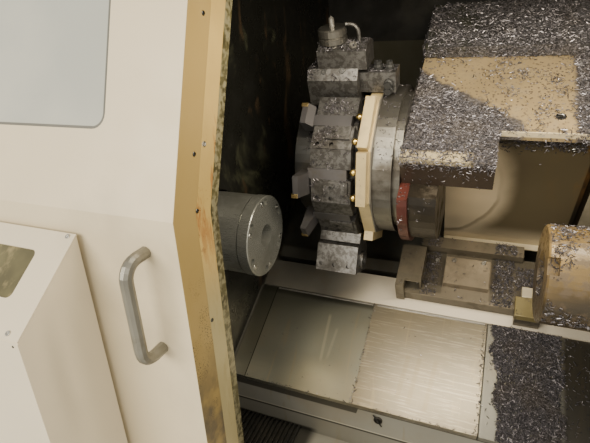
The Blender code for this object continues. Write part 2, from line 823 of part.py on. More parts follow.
def carved(mesh, tool_meshes):
    """A closed mesh with other closed meshes taken out of it."""
    first = helper_object("carved", mesh)
    tools = []
    for tool_mesh in tool_meshes:
        tool = helper_object("tool", tool_mesh)
        tools.append(tool)
        modifier = first.modifiers.new("cut", "BOOLEAN")
        modifier.operation = "DIFFERENCE"
        modifier.object = tool
        modifier.solver = "EXACT"
    result = evaluated_mesh(first)
    for tool in tools:
        bpy.data.objects.remove(tool, do_unlink=True)
    return result


# Bed: a ribbed casting with its box ways cast in one, standing on screwed feet
def build_bed():
    platform = [slope_point(PLATFORM_LOW_U, PLATFORM_STEP_V), slope_point(PLATFORM_LOW_U, PLATFORM_V),
                slope_point(PLATFORM_HIGH_U, PLATFORM_V), slope_point(PLATFORM_HIGH_U, TROUGH_V),
                slope_point(TROUGH_HIGH_U, TROUGH_V)]
    front_y = platform[0][0]
    outline = [(front_y, BED_FOOT_Z), *platform, (BED_BACK_Y, platform[-1][1]), (BED_BACK_Y, BED_FOOT_Z)]
    bed = piece("bed_casting", IRON, floor_frame, [along_x(outline[::-1], -BED_HALF_LENGTH, BED_HALF_LENGTH)])
    sunk = TROUGH_V - SHEET
    ways = [box((RAIL_LEFT_X, TAIL_RAIL_U, sunk), (RAIL_RIGHT_X, TAIL_RAIL_U + TAIL_RAIL_WIDE, TAIL_RAIL_V)),
            box((COVER_LEFT_X, LEDGE_LOW_U, PLATFORM_V - SHEET), (COVER_END_X, PLATFORM_HIGH_U, LEDGE_TOP_V))]
    for low_u in (Z_RAIL_LOW_U, Z_RAIL_HIGH_U):
        ways.append(box((RAIL_LEFT_X, low_u, sunk), (RAIL_RIGHT_X, low_u + Z_RAIL_WIDE, Z_RAIL_V)))
    strips = together(ways)
    strips.transform(SLIDE_TO_FLOOR)
    join(bed, strips)
    deck = BED_DECK / cos(SLIDE_TILT)
    inner_front = front_y + BED_WALL
    inner_back = BED_BACK_Y - BED_WALL

    def under_deck(y):
        u = (y - SPINDLE_Y + TROUGH_V * sin(SLIDE_TILT)) / cos(SLIDE_TILT)
        return slope_point(u, TROUGH_V)[1] - deck

    pocket = [(inner_front, BED_FOOT_Z - OVERRUN), (inner_back, BED_FOOT_Z - OVERRUN),
              (inner_back, under_deck(inner_back)), (inner_front, under_deck(inner_front))]
    bay = (2.0 * BED_HALF_LENGTH - BED_RIB) / BED_BAYS
    pockets = []
    for index in range(BED_BAYS):
        left = -BED_HALF_LENGTH + BED_RIB + index * bay
        pockets.append(along_x(pocket, left, left + bay - BED_RIB))
    cut(bed, together(pockets))
    feet = []
    rise = BED_FOOT_Z + SHEET
    for x in (-FOOT_X, 0.0, FOOT_X):
        for y in (FOOT_FRONT_Y, FOOT_BACK_Y):
            profile = [(0.0, rise), (FOOT_STUD_RADIUS, rise), (FOOT_STUD_RADIUS, FOOT_PAD),
                       (FOOT_RADIUS, FOOT_PAD), (FOOT_RADIUS, 0.0), (0.0, 0.0)]
            feet.append(moved(turned(profile, SMALL_STEPS, axis="Z"), (x, y, 0.0)))
    join(bed, together(feet))
    return front_y


# Enclosure: skirt, front sheet with the doorway, and the roof, back and ends
def build_enclosure():
    half = LENGTH / 2.0
    skirt = piece("base_skirt", GREY, floor_frame,
                  [box((-half, SKIRT_FRONT_Y, SKIRT_BOTTOM_Z), (half, BACK_Y, SKIRT_TOP_Z))])
    cut(skirt,
        box((SKIRT_WALL - half, SKIRT_FRONT_Y + SKIRT_WALL, SKIRT_BOTTOM_Z - OVERRUN),
            (half - SKIRT_WALL, BACK_Y - SKIRT_WALL, SKIRT_TOP_Z - SKIRT_WALL)),
        box((SILL_END_INSET - half, SILL_BACK_Y, SKIRT_TOP_Z - 2.0 * SKIRT_WALL),
            (half - SILL_END_INSET, BACK_Y - 2.0 * SKIRT_WALL, SKIRT_TOP_Z + OVERRUN)))
    top = TOP_Z - SHEET
    low = SKIRT_TOP_Z + GAP
    front = piece("front_panel", CREAM, floor_frame,
                  [along_x(front_strip(PANEL_DEPTH, PANEL_DEPTH + SHEET, low, top - GAP), -half, half)])
    cut(front, box((OPENING_LEFT_X, DOOR_FACE_Y, OPENING_BOTTOM_Z), (OPENING_RIGHT_X, 0.0, OPENING_TOP_Z)))
    inner = PANEL_DEPTH + SHEET + GAP
    bend = (DOOR_FACE_Y + inner, DOOR_BEND_Z - inner * tan(DOOR_LEAN / 2.0))
    roof_front = front_point(PANEL_DEPTH, top)[0]
    shell_outline = [(bend[0], low), (BACK_Y, low), (BACK_Y, TOP_Z), (roof_front, TOP_Z),
                     (roof_front, top), front_point(inner, top), bend]
    shell = piece("enclosure_shell", CREAM, floor_frame, [along_x(shell_outline, -half, half)])
    hollow = [(DOOR_FACE_Y, low - OVERRUN), (BACK_Y - SHEET, low - OVERRUN), (BACK_Y - SHEET, top),
              (DOOR_FACE_Y, top)]
    cut(shell, along_x(hollow, SHEET - half, half - SHEET))


def build_door_rails():
    ends = LENGTH / 2.0 - RAIL_END_INSET
    near = DOOR_SKIN_DEPTH + DOOR_LINER_DEPTH + DOOR_SEAL_DEPTH + GAP + GAP
    far = PANEL_DEPTH - GAP
    low = RAIL_TOP_Z - RAIL_TALL
    strip = [front_point(near, low), front_point(far, low), front_point(far, RAIL_TOP_Z),
             front_point(near, RAIL_TOP_Z)]
    piece("upper_door_rail", STEEL, floor_frame, [along_x(strip, -ends, ends)])
    piece("sill_rail", STEEL, floor_frame,
          [box((-ends, SILL_RAIL_FRONT_Y, SKIRT_TOP_Z + GAP), (ends, SILL_RAIL_BACK_Y, DOOR_BOTTOM_Z - GAP))])


# Door: outer pan, inner liner, pane, edge seal and bow handle
def door_window_outline(left, right, lap):
    return rounded((left - lap, WINDOW_LOW - lap), (right + lap, WINDOW_HIGH + lap), WINDOW_ROUND + lap)


def build_door():
    right = DOOR_RIGHT_X
    left = right - DOOR_WIDTH
    glass_left = left + WINDOW_SIDE_INSET
    glass_right = right - WINDOW_SIDE_INSET
    lean = Matrix.Translation((0.0, DOOR_FACE_Y, DOOR_BEND_Z)) @ Matrix.Rotation(-DOOR_LEAN, 4, "X")

    def window_tool(front, back):
        tool = along_y(door_window_outline(glass_left, glass_right, 0.0), front, back)
        tool.transform(lean)
        return tool

    skin = piece("door_skin", CREAM, door_frame,
                 [along_x(front_strip(0.0, DOOR_SKIN_DEPTH, DOOR_BOTTOM_Z, DOOR_TOP_Z), left, right)])
    inside = front_strip(SHEET, DOOR_SKIN_DEPTH + OVERRUN, DOOR_BOTTOM_Z + SHEET, DOOR_TOP_Z - SHEET)
    cut(skin, along_x(inside, left + SHEET, right - SHEET), window_tool(-OVERRUN, OVERRUN))

    liner_near = DOOR_SKIN_DEPTH + GAP
    liner_far = DOOR_SKIN_DEPTH + DOOR_LINER_DEPTH
    liner = piece("door_liner", STRAW, door_frame,
                  [along_x(front_strip(liner_near, liner_far, DOOR_BOTTOM_Z, DOOR_TOP_Z), left, right)])
    pan = front_strip(liner_near - OVERRUN, liner_far - SHEET, DOOR_BOTTOM_Z + SHEET, DOOR_TOP_Z - SHEET)
    cut(liner, along_x(pan, left + SHEET, right - SHEET),
        window_tool(DOOR_SKIN_DEPTH - OVERRUN, liner_far + OVERRUN))

    seal_near = liner_far + GAP
    seal = along_x(front_strip(seal_near, seal_near + DOOR_SEAL_DEPTH, DOOR_BOTTOM_Z, DOOR_TOP_Z),
                   right - DOOR_SEAL_WIDTH, right)
    piece("door_seal", RUBBER, door_frame, [seal])

    pane = along_y(door_window_outline(glass_left, glass_right, WINDOW_LAP), SHEET + GAP,
                   SHEET + GAP + WINDOW_PANE)
    piece("door_window", GLASS, lean_frame, [pane])


def build_handle():
    foot_y = DOOR_FACE_Y - GAP
    out_y = foot_y - HANDLE_STANDOFF
    curve = bpy.data.curves.new("handle", "CURVE")
    curve.dimensions = "3D"
    curve.bevel_depth = HANDLE_RADIUS
    curve.bevel_resolution = 3
    curve.use_fill_caps = True
    points = [(foot_y, HANDLE_LOW_Z)]
    for centre_z, start in ((HANDLE_LOW_Z + HANDLE_BEND, 1.5), (HANDLE_HIGH_Z - HANDLE_BEND, 1.0)):
        for step in range(ARC_STEPS + 1):
            angle = pi * (start - 0.5 * step / ARC_STEPS)
            points.append((out_y + HANDLE_BEND + HANDLE_BEND * cos(angle), centre_z + HANDLE_BEND * sin(angle)))
    points.append((foot_y, HANDLE_HIGH_Z))
    spline = curve.splines.new("POLY")
    spline.points.add(len(points) - 1)
    for target, (y, z) in zip(spline.points, points):
        target.co = (HANDLE_X, y, z, 1.0)
    smooth(piece("door_handle", STEEL, door_frame, [evaluated_mesh(helper_object("handle", curve))]))


# Gauge cabinet in front of the door, with a sloping plate and a small window
def build_gauge_cabinet():
    drop = atan2(GAUGE_TOP_Z - GAUGE_LIP_Z, GAUGE_BACK_Y - GAUGE_FRONT_Y)
    slope_long = hypot(GAUGE_TOP_Z - GAUGE_LIP_Z, GAUGE_BACK_Y - GAUGE_FRONT_Y)
    plate_rise = (GAUGE_PLATE + GAP) / cos(drop)
    outline = [(GAUGE_FRONT_Y, GAUGE_BOTTOM_Z), (GAUGE_BACK_Y, GAUGE_BOTTOM_Z),
               (GAUGE_BACK_Y, GAUGE_TOP_Z - plate_rise), (GAUGE_FRONT_Y, GAUGE_LIP_Z - plate_rise)]
    cabinet = piece("gauge_cabinet", CREAM, floor_frame, [along_x(outline, GAUGE_LEFT_X, GAUGE_RIGHT_X)])
    inner_rise = plate_rise + GAUGE_WALL / cos(drop)
    wall_drop = GAUGE_WALL * tan(drop)
    inner = [(GAUGE_FRONT_Y + GAUGE_WALL, GAUGE_BOTTOM_Z - OVERRUN),
             (GAUGE_BACK_Y - GAUGE_WALL, GAUGE_BOTTOM_Z - OVERRUN),
             (GAUGE_BACK_Y - GAUGE_WALL, GAUGE_TOP_Z - inner_rise - wall_drop),
             (GAUGE_FRONT_Y + GAUGE_WALL, GAUGE_LIP_Z - inner_rise + wall_drop)]
    cut(cabinet, along_x(inner, GAUGE_LEFT_X + GAUGE_WALL, GAUGE_RIGHT_X - GAUGE_WALL))
    # Plate frame: origin at the top edge, +X to the right, -Y down the slope, +Z out
    lie = Matrix.Translation((0.0, GAUGE_BACK_Y, GAUGE_TOP_Z)) @ Matrix.Rotation(drop, 4, "X")
    low = (GAUGE_LEFT_X + GAUGE_WINDOW_SIDE, -GAUGE_WINDOW_TOP - GAUGE_WINDOW_LONG)
    high = (GAUGE_RIGHT_X - GAUGE_WINDOW_SIDE, -GAUGE_WINDOW_TOP)

    def sheet(outlines, top, thickness):
        down = Matrix.Translation((0.0, 0.0, top - thickness / 2.0))
        return outline_solid(outlines, thickness, lie @ down)

    window = rounded(low, high, GAUGE_WINDOW_ROUND)
    whole = rectangle((GAUGE_LEFT_X, -slope_long), (GAUGE_RIGHT_X, 0.0))
    piece("gauge_plate", CREAM, floor_frame, [sheet([whole, window], 0.0, GAUGE_PLATE)])
    lap = GAUGE_PANE_LAP
    pane_outline = rounded((low[0] - lap, low[1] - lap), (high[0] + lap, high[1] + lap), GAUGE_WINDOW_ROUND)
    seat = GAUGE_PANE_LAP + GAP
    seat_outline = rounded((low[0] - seat, low[1] - seat), (high[0] + seat, high[1] + seat), GAUGE_WINDOW_ROUND)
    cut(cabinet, sheet([seat_outline], OVERRUN, 2.0 * OVERRUN + GAUGE_WALL))
    piece("gauge_window", GLASS, floor_frame, [sheet([pane_outline], -GAUGE_PLATE - GAP, GAUGE_PANE)])


# Chamber walls and chip trough
def build_chamber():
    deep = PANEL_DEPTH + SHEET + GAP
    bend = (DOOR_FACE_Y + deep, DOOR_BEND_Z - deep * tan(DOOR_LEAN / 2.0))
    top = TOP_Z - SHEET - GAP
    back = BACK_Y - SHEET - GAP
    slope_v = PLATFORM_V + GAP
    back_u = (back - SPINDLE_Y + slope_v * sin(SLIDE_TILT)) / cos(SLIDE_TILT)
    outline = [(bend[0], BULKHEAD_LOW_Z), slope_point(PLATFORM_LOW_U, slope_v), slope_point(back_u, slope_v),
               (back, top), front_point(deep, top), bend]
    left_wall = piece("headstock_bulkhead", DARK, floor_frame,
                      [along_x(outline, BULKHEAD_X - SHEET, BULKHEAD_X)])
    hole = rod(BULKHEAD_HOLE, BULKHEAD_X - SHEET - OVERRUN, BULKHEAD_X + OVERRUN)
    cut(left_wall, moved(hole, (0.0, SPINDLE_Y, SPINDLE_Z)))
    piece("tailstock_bulkhead", DARK, floor_frame, [along_x(outline, END_WALL_X, END_WALL_X + SHEET)])


def build_trough(bed_front):
    front = DOOR_FACE_Y + PANEL_DEPTH + SHEET + GAP
    back = bed_front - GAP
    outline = [(front, TROUGH_BOTTOM_Z), (back, TROUGH_BOTTOM_Z), (back, TROUGH_BACK_Z),
               (back - SHEET, TROUGH_BACK_Z), (back - SHEET, TROUGH_BOTTOM_Z + SHEET),
               (front + SHEET, TROUGH_BOTTOM_Z + SHEET), (front + SHEET, TROUGH_FRONT_Z),
               (front, TROUGH_FRONT_Z)]
    piece("chip_trough", STAINLESS, floor_frame, [along_x(outline, TROUGH_LEFT_X, END_WALL_X - GAP)])


# Way covers, slideway strip, rails and screw, all in slide terms
def cover_outline(thick):
    low = PLATFORM_V + GAP
    return [(COVER_LOW_U, COVER_LIP_V), (COVER_LOW_U + COVER_SHEET, COVER_LIP_V),
            (COVER_LOW_U + COVER_SHEET, low), (COVER_HIGH_U, low), (COVER_HIGH_U, low + thick),
            (COVER_LOW_U, low + thick)]


def build_covers():
    piece("way_cover_left", STAINLESS, slide_frame,
          [along_x(cover_outline(COVER_SHEET), COVER_LEFT_X, COVER_SEAM_X - COVER_SEAM_GAP)])
    piece("way_cover_right", STAINLESS, slide_frame,
          [along_x(cover_outline(COVER_SHEET + COVER_RAISE), COVER_SEAM_X, COVER_RIGHT_X)])
    piece("chip_plate", STAINLESS, slide_frame,
          [along_x(cover_outline(COVER_SHEET), COVER_RIGHT_X + CHIP_PLATE_GAP, COVER_END_X)])


def build_z_screw():
    floor_v = TROUGH_V + GAP
    half = SCREW_BLOCK_HALF
    block = box((SCREW_LEFT_X - SCREW_BLOCK_LONG, SCREW_U - half, floor_v),
                (SCREW_LEFT_X, SCREW_U + half, SCREW_BLOCK_TOP_V))
    servo = box((SCREW_RIGHT_X, SCREW_U - SERVO_HALF, floor_v),
                (SCREW_RIGHT_X + SERVO_LONG, SCREW_U + SERVO_HALF, SERVO_TOP_V))
    screw = rod(SCREW_RADIUS, SCREW_LEFT_X - SCREW_BLOCK_LONG / 2.0, SCREW_RIGHT_X + SCREW_BLOCK_LONG, SMALL_STEPS)
    drive = piece("z_screw_drive", IRON, slide_frame, [block])
    join(drive, moved(screw, (0.0, SCREW_U, SCREW_V)), servo)


# Headstock with its spindle, bearings, pulleys, belt and motor
def belt_outline(first, second, first_radius, second_radius, steps=BELT_STEPS):
    """Open belt round two centres, as a ring of points."""
    across = (second[0] - first[0], second[1] - first[1])
    heading = atan2(across[1], across[0])
    lean = acos((first_radius - second_radius) / hypot(*across))
    points = []
    for step in range(2 * steps + 1):
        angle = heading + lean + (BODY_ANGLE - 2.0 * lean) * step / (2 * steps)
        points.append((first[0] + first_radius * cos(angle), first[1] + first_radius * sin(angle)))
    for step in range(steps + 1):
        angle = heading - lean + 2.0 * lean * step / steps
        points.append((second[0] + second_radius * cos(angle), second[1] + second_radius * sin(angle)))
    return points


def build_headstock():
    head = piece("headstock", IRON, slide_frame,
                 [box((HEAD_LEFT_X, HEAD_LOW_U, PLATFORM_V + GAP), (HEAD_RIGHT_X, PLATFORM_HIGH_U, HEAD_HIGH_V))])
    round_edges(head, HEAD_EDGE, 1)
    join(head, rod(HEAD_FLANGE_RADIUS, HEAD_RIGHT_X - HEAD_FLANGE, HEAD_RIGHT_X + HEAD_FLANGE))
    cut(head, rod(bore(CARTRIDGE_RADIUS), HEAD_LEFT_X - OVERRUN, HEAD_RIGHT_X + HEAD_FLANGE + OVERRUN))
    sleeve = ring(CARTRIDGE_RADIUS, bore(SHAFT_RADIUS), HEAD_LEFT_X + CARTRIDGE_INSET,
                  HEAD_RIGHT_X - CARTRIDGE_INSET)
    smooth(piece("bearing_cartridge", STEEL, slide_frame, [sleeve]))


def build_spindle():
    inner = bore(TUBE_RADIUS)
    bottom = TUBE_LEFT_X - TUBE_ROOM
    waist = (SHAFT_LEFT_X + ACTUATOR_LEFT_X) / 2.0
    profile = [(0.0, bottom), (inner, bottom), (inner, SHAFT_RIGHT_X), (SHAFT_NOSE_RADIUS, SHAFT_RIGHT_X),
               (SHAFT_NOSE_RADIUS, SHAFT_RIGHT_X - SHAFT_NOSE_LONG), (SHAFT_RADIUS, SHAFT_RIGHT_X - SHAFT_NOSE_LONG),
               (SHAFT_RADIUS, PULLEY_RIGHT_X), (PULLEY_RADIUS, PULLEY_RIGHT_X), (PULLEY_RADIUS, PULLEY_LEFT_X),
               (SHAFT_RADIUS, PULLEY_LEFT_X), (SHAFT_RADIUS, SHAFT_LEFT_X), (ACTUATOR_RADIUS, SHAFT_LEFT_X),
               (ACTUATOR_RADIUS, waist), (ACTUATOR_WAIST, waist), (ACTUATOR_WAIST, ACTUATOR_LEFT_X),
               (0.0, ACTUATOR_LEFT_X)]
    smooth(piece("spindle_shaft", STEEL, spindle_frame, [turned(profile)]))


def build_chuck():
    nose_left = CHUCK_FACE_X - CHUCK_NOSE_LONG
    body_right = nose_left - GAP
    cavity = bore(CHUCK_CAVITY_RADIUS)
    tube_hole = bore(TUBE_RADIUS)
    body_left = SHAFT_RIGHT_X + GAP
    profile = [(cavity, body_right), (CHUCK_RADIUS, body_right), (CHUCK_RADIUS, body_left), (tube_hole, body_left),
               (tube_hole, CHUCK_CAVITY_LEFT_X), (cavity, CHUCK_CAVITY_LEFT_X)]
    smooth(piece("chuck_body", STEEL, spindle_frame, [turned(profile, closed=True)]))
    groove_right = nose_left + CHUCK_GROOVE
    face = [(CHUCK_BORE, CHUCK_FACE_X), (CHUCK_NOSE_RADIUS - CHUCK_NOSE_BEVEL, CHUCK_FACE_X),
            (CHUCK_NOSE_RADIUS, CHUCK_FACE_X - CHUCK_NOSE_BEVEL), (CHUCK_NOSE_RADIUS, groove_right),
            (CHUCK_RADIUS - CHUCK_GROOVE, groove_right), (CHUCK_RADIUS - CHUCK_GROOVE, nose_left),
            (CHUCK_BORE, nose_left)]
    nose = piece("chuck_nose", STEEL, spindle_frame, [turned(face, closed=True)])
    holes = []
    for index in range(SCREW_COUNT):
        angle = SCREW_FIRST + SLIDE_TILT + index * BODY_ANGLE / SCREW_COUNT
        hole = rod(SCREW_HOLE, CHUCK_FACE_X - SCREW_HOLE_DEEP, CHUCK_FACE_X + OVERRUN, SMALL_STEPS)
        holes.append(moved(hole, (0.0, -SCREW_CIRCLE * cos(angle), SCREW_CIRCLE * sin(angle))))
    smooth(cut(nose, together(holes)))


def build_collet():
    head = CHUCK_CAVITY_RADIUS
    profile = [(COLLET_BORE, COLLET_FACE_X - GAP), (head, COLLET_FACE_X - GAP), (head, COLLET_LEFT_X),
               (TUBE_RADIUS, COLLET_LEFT_X), (TUBE_RADIUS, TUBE_LEFT_X), (TUBE_BORE, TUBE_LEFT_X),
               (TUBE_BORE, COLLET_LEFT_X), (COLLET_BORE, COLLET_LEFT_X)]
    collet = piece("drawtube_collet", BLACK_STEEL, spindle_frame, [turned(profile, closed=True)])
    for index in range(3):
        slit = box((COLLET_LEFT_X + COLLET_BORE, 0.0, -COLLET_SLIT / 2.0),
                   (COLLET_FACE_X + OVERRUN, head + OVERRUN, COLLET_SLIT / 2.0))
        cut(collet, moved(slit, (0.0, 0.0, 0.0), index * BODY_ANGLE / 3.0))
    smooth(collet)


def build_spindle_drive():
    half = MOTOR_HALF
    body = box((MOTOR_LEFT_X, -half, -half), (MOTOR_RIGHT_X, half, half))
    motor = piece("spindle_motor", GREY, motor_frame, [body])
    pitch = 2.0 * half / (MOTOR_FINS + 1)
    for index in range(MOTOR_FINS):
        across = -half + pitch * (index + 1)
        cut(motor, box((MOTOR_LEFT_X + pitch, across - pitch / 4.0, half - MOTOR_FIN_DEEP),
                       (MOTOR_RIGHT_X - pitch, across + pitch / 4.0, half + OVERRUN)))
    rim = MOTOR_PULLEY_RADIUS
    shaft = MOTOR_SHAFT_RADIUS
    pulley = [(0.0, MOTOR_LEFT_X - GAP), (shaft, MOTOR_LEFT_X - GAP), (shaft, PULLEY_RIGHT_X), (rim, PULLEY_RIGHT_X),
              (rim, PULLEY_LEFT_X), (0.0, PULLEY_LEFT_X)]
    smooth(piece("motor_pulley", STEEL, motor_frame, [turned(pulley)]))
    centre = (MOTOR_U, MOTOR_V)
    inner = belt_outline((0.0, 0.0), centre, bore(PULLEY_RADIUS), bore(rim))
    outer = belt_outline((0.0, 0.0), centre, bore(PULLEY_RADIUS) + BELT_THICK, bore(rim) + BELT_THICK)
    belt = along_x(outer, PULLEY_LEFT_X + BELT_INSET, PULLEY_RIGHT_X - BELT_INSET, [inner])
    piece("drive_belt", BLACK_STEEL, slide_frame, [belt])


# Carriage: saddle on the Z rails, cross slide on the saddle, and their sheet covers
def build_saddle():
    outline = [(SADDLE_LOW_U, SADDLE_TOP_V), (SADDLE_LOW_U, SADDLE_LOW_V)]
    channels = [(Z_RAIL_LOW_U, Z_RAIL_WIDE, Z_RAIL_V), (SCREW_U - 1.5 * SCREW_RADIUS, 3.0 * SCREW_RADIUS,
                SCREW_V + SCREW_RADIUS), (Z_RAIL_HIGH_U, Z_RAIL_WIDE, Z_RAIL_V)]
    for low_u, wide, top_v in channels:
        outline += [(low_u - GAP, SADDLE_LOW_V), (low_u - GAP, top_v + GAP), (low_u + wide + GAP, top_v + GAP),
                    (low_u + wide + GAP, SADDLE_LOW_V)]
    outline += [(SADDLE_HIGH_U, SADDLE_LOW_V), (SADDLE_HIGH_U, SADDLE_TOP_V)]
    saddle = piece("saddle", IRON, carriage_frame, [along_x(outline, SADDLE_LEFT_X, SADDLE_RIGHT_X)])
    for left in (X_RAIL_LEFT_X, X_RAIL_RIGHT_X):
        join(saddle, box((left, SADDLE_LOW_U, SADDLE_TOP_V - SHEET), (left + X_RAIL_WIDE, SADDLE_HIGH_U, X_RAIL_V)))
    middle = (SADDLE_LEFT_X + SADDLE_RIGHT_X) / 2.0
    join(saddle, box((middle - X_SERVO_HALF, SADDLE_HIGH_U - SHEET, SADDLE_LOW_V),
                     (middle + X_SERVO_HALF, X_SERVO_HIGH_U, X_SERVO_TOP_V)))
    lip_low = COVER_BACK_V + SHEET
    upper = piece("upper_cover", STAINLESS, carriage_frame,
                  [box((UPPER_LEFT_X, UPPER_LOW_U, lip_low), (UPPER_RIGHT_X, UPPER_HIGH_U, UPPER_V))])
    cut(upper, box((UPPER_LEFT_X + SHEET, UPPER_LOW_U + SHEET, lip_low - OVERRUN),
                   (UPPER_RIGHT_X - SHEET, UPPER_HIGH_U + OVERRUN, UPPER_V - SHEET)))
    wall_back = UPPER_HIGH_U - 0.5 * SHEET
    join(upper, box((UPPER_WALL_LEFT_X, wall_back - SHEET, SADDLE_TOP_V + GAP),
                    (SADDLE_RIGHT_X, wall_back, UPPER_V - 0.5 * SHEET)))
    for left in (X_RAIL_LEFT_X, X_RAIL_RIGHT_X):
        cut(upper, box((left - GAP, UPPER_HIGH_U - OVERRUN, SADDLE_TOP_V - OVERRUN),
                       (left + X_RAIL_WIDE + GAP, UPPER_HIGH_U + OVERRUN, X_RAIL_V + GAP)))
    cut(upper, box((middle - X_SERVO_HALF - GAP, UPPER_HIGH_U - OVERRUN, SADDLE_TOP_V - OVERRUN),
                   (middle + X_SERVO_HALF + GAP, UPPER_HIGH_U + OVERRUN, X_SERVO_TOP_V + GAP)))


def build_cross_slide():
    slide = piece("cross_slide", BROWN, cross_frame,
                  [box((SLIDE_LEFT_X, SLIDE_LOW_U, X_RAIL_V + GAP), (SLIDE_RIGHT_X, SLIDE_HIGH_U, SLIDE_TOP_V))])
    plate_back = SLIDE_LOW_U - GAP
    outline = [(FRONT_PLATE_U, SLIDE_TOP_V), (FRONT_PLATE_U, FRONT_PLATE_LOW_V + SHEET),
               (FRONT_PLATE_U - FRONT_PLATE_FLANGE, FRONT_PLATE_LOW_V + SHEET),
               (FRONT_PLATE_U - FRONT_PLATE_FLANGE, FRONT_PLATE_LOW_V), (plate_back, FRONT_PLATE_LOW_V),
               (plate_back, SLIDE_TOP_V)]
    piece("slide_front_plate", STAINLESS, cross_frame, [along_x(outline, SLIDE_LEFT_X, FRONT_PLATE_RIGHT_X)])
    low_v = COVER_BACK_V - SHEET
    cover = piece("slide_cover", STAINLESS, cross_frame,
                  [box((COVER_BACK_LEFT_X, COVER_BACK_LOW_U, low_v),
                       (COVER_BACK_RIGHT_X, SLIDE_HIGH_U, COVER_BACK_V))])
    join(cover,
         box((COVER_BACK_LEFT_X, STEP_LOW_U, low_v), (STEP_RIGHT_X, COVER_BACK_LOW_U + SHEET, COVER_BACK_V)),
         box((STEP_RIGHT_X - SHEET, COVER_BACK_LOW_U, COVER_BACK_V - COVER_BACK_LIP),
             (COVER_BACK_RIGHT_X, COVER_BACK_LOW_U + SHEET, COVER_BACK_V)),
         box((COVER_BACK_LEFT_X, STEP_LOW_U, STEP_LIP_V), (STEP_RIGHT_X, STEP_LOW_U + SHEET, COVER_BACK_V)),
         box((STEP_RIGHT_X - SHEET, STEP_LOW_U, STEP_LIP_V),
             (STEP_RIGHT_X, COVER_BACK_LOW_U + SHEET, COVER_BACK_V)))


# Turret: fixed housing and ring, indexing drum and disc, holders and tools
def build_turret_housing():
    top = COVER_BACK_V - SHEET - GAP
    drum = moved(rod(HOUSING_RADIUS, HOUSING_LEFT_X, HOUSING_RIGHT_X), (0.0, TURRET_U, 0.0))
    housing = piece("turret_housing", BROWN, cross_frame, [drum])
    join(housing, box((HOUSING_LEFT_X + GAP, HOUSING_BLOCK_U, HOUSING_BLOCK_V),
                      (HOUSING_BLOCK_RIGHT_X - GAP, FRONT_PLATE_U - GAP, top)))

    def under_cover(left, right):
        """What the slide cover and its front lip take away from the round housing and ring."""
        reach = RING_RADIUS + OVERRUN
        return (box((left, HOUSING_BLOCK_U - OVERRUN, top), (right, TURRET_U + reach, reach)),
                box((left, TURRET_U - reach, STEP_LIP_V - GAP), (right, STEP_LOW_U + SHEET + GAP, reach)))

    cut(housing, *under_cover(HOUSING_LEFT_X - OVERRUN, HOUSING_RIGHT_X + OVERRUN),
        moved(rod(bore(SPIGOT_RADIUS), HOUSING_LEFT_X - OVERRUN, SPIGOT_RIGHT_X + SHEET), (0.0, TURRET_U, 0.0)))
    smooth(housing)
    collar = ring(RING_RADIUS, bore(SPIGOT_RADIUS), RING_LEFT_X, HOUSING_LEFT_X - GAP)
    red = piece("turret_ring", RED, cross_frame, [moved(collar, (0.0, TURRET_U, 0.0))])
    smooth(cut(red, *under_cover(RING_LEFT_X - OVERRUN, HOUSING_LEFT_X + OVERRUN)))


def build_turret():
    drum_right = RING_LEFT_X - GAP
    profile = [(0.0, SPIGOT_RIGHT_X), (SPIGOT_RADIUS, SPIGOT_RIGHT_X), (SPIGOT_RADIUS, drum_right),
               (DRUM_GROOVE, drum_right), (DRUM_GROOVE, DRUM_STEP_X), (DRUM_RADIUS, DRUM_STEP_X),
               (DRUM_RADIUS, DRUM_LEFT_X), (0.0, DRUM_LEFT_X)]
    smooth(piece("turret_drum", STEEL, turret_frame, [turned(profile)]))

    def ten_sided(flat):
        corner = flat / cos(pi / STATIONS)
        start = STATION_FIRST + SLIDE_TILT + pi / STATIONS
        angles = [start + index * BODY_ANGLE / STATIONS for index in range(STATIONS)]
        return [(-corner * cos(angle), corner * sin(angle)) for angle in angles]

    disc = piece("tool_disc", STEEL, turret_frame, [along_x(ten_sided(DISC_FLAT), DISC_LEFT_X, DISC_STEP_X)])
    hub = [(0.0, DISC_LEFT_X + SHEET), (DISC_FACE_RADIUS, DISC_LEFT_X + SHEET), (DISC_FACE_RADIUS, DISC_FACE_X + SHEET),
           (DISC_FACE_RADIUS - SHEET, DISC_FACE_X), (DISC_HUB_RADIUS, DISC_FACE_X),
           (DISC_HUB_RADIUS, DISC_FACE_X + DISC_HUB_DEEP), (0.0, DISC_FACE_X + DISC_HUB_DEEP)]
    join(disc, turned(hub))
    ring_left = DISC_STEP_X + GAP
    coolant = piece("coolant_ring", COPPER, turret_frame,
                    [along_x(ten_sided(RING_FLAT), ring_left, DRUM_LEFT_X - GAP)])
    for index in BAR_STATIONS:
        bar = box((BAR_LEFT_X, -BAR_HALF, RING_FLAT - SHEET), (BAR_RIGHT_X, BAR_HALF, BAR_OUTER))
        nozzles = []
        for side in NOZZLE_SIDES:
            bm = bmesh.new()
            bmesh.ops.create_uvsphere(bm, u_segments=10, v_segments=6, radius=NOZZLE_RADIUS)
            ball = bpy.data.meshes.new("ball")
            bm.to_mesh(ball)
            bm.free()
            nozzles.append(moved(ball, (NOZZLE_X + NOZZLE_RADIUS / 4.0, side, NOZZLE_OUT)))
        join(coolant, moved(merged([bar, *nozzles]), (0.0, 0.0, 0.0), station_angle(index)))


def mirrored(outline):
    """Right-hand half of an outline, bottom to top, closed with its mirror image."""
    return outline + [(-across, out) for across, out in outline[::-1]]


def radial_hole(radius, x, across, out, deep):
    tool = turned([(0.0, out + OVERRUN), (radius, out + OVERRUN), (radius, out - deep), (0.0, out - deep)],
                  HOLE_STEPS, axis="Z")
    return moved(tool, (x, across, 0.0))


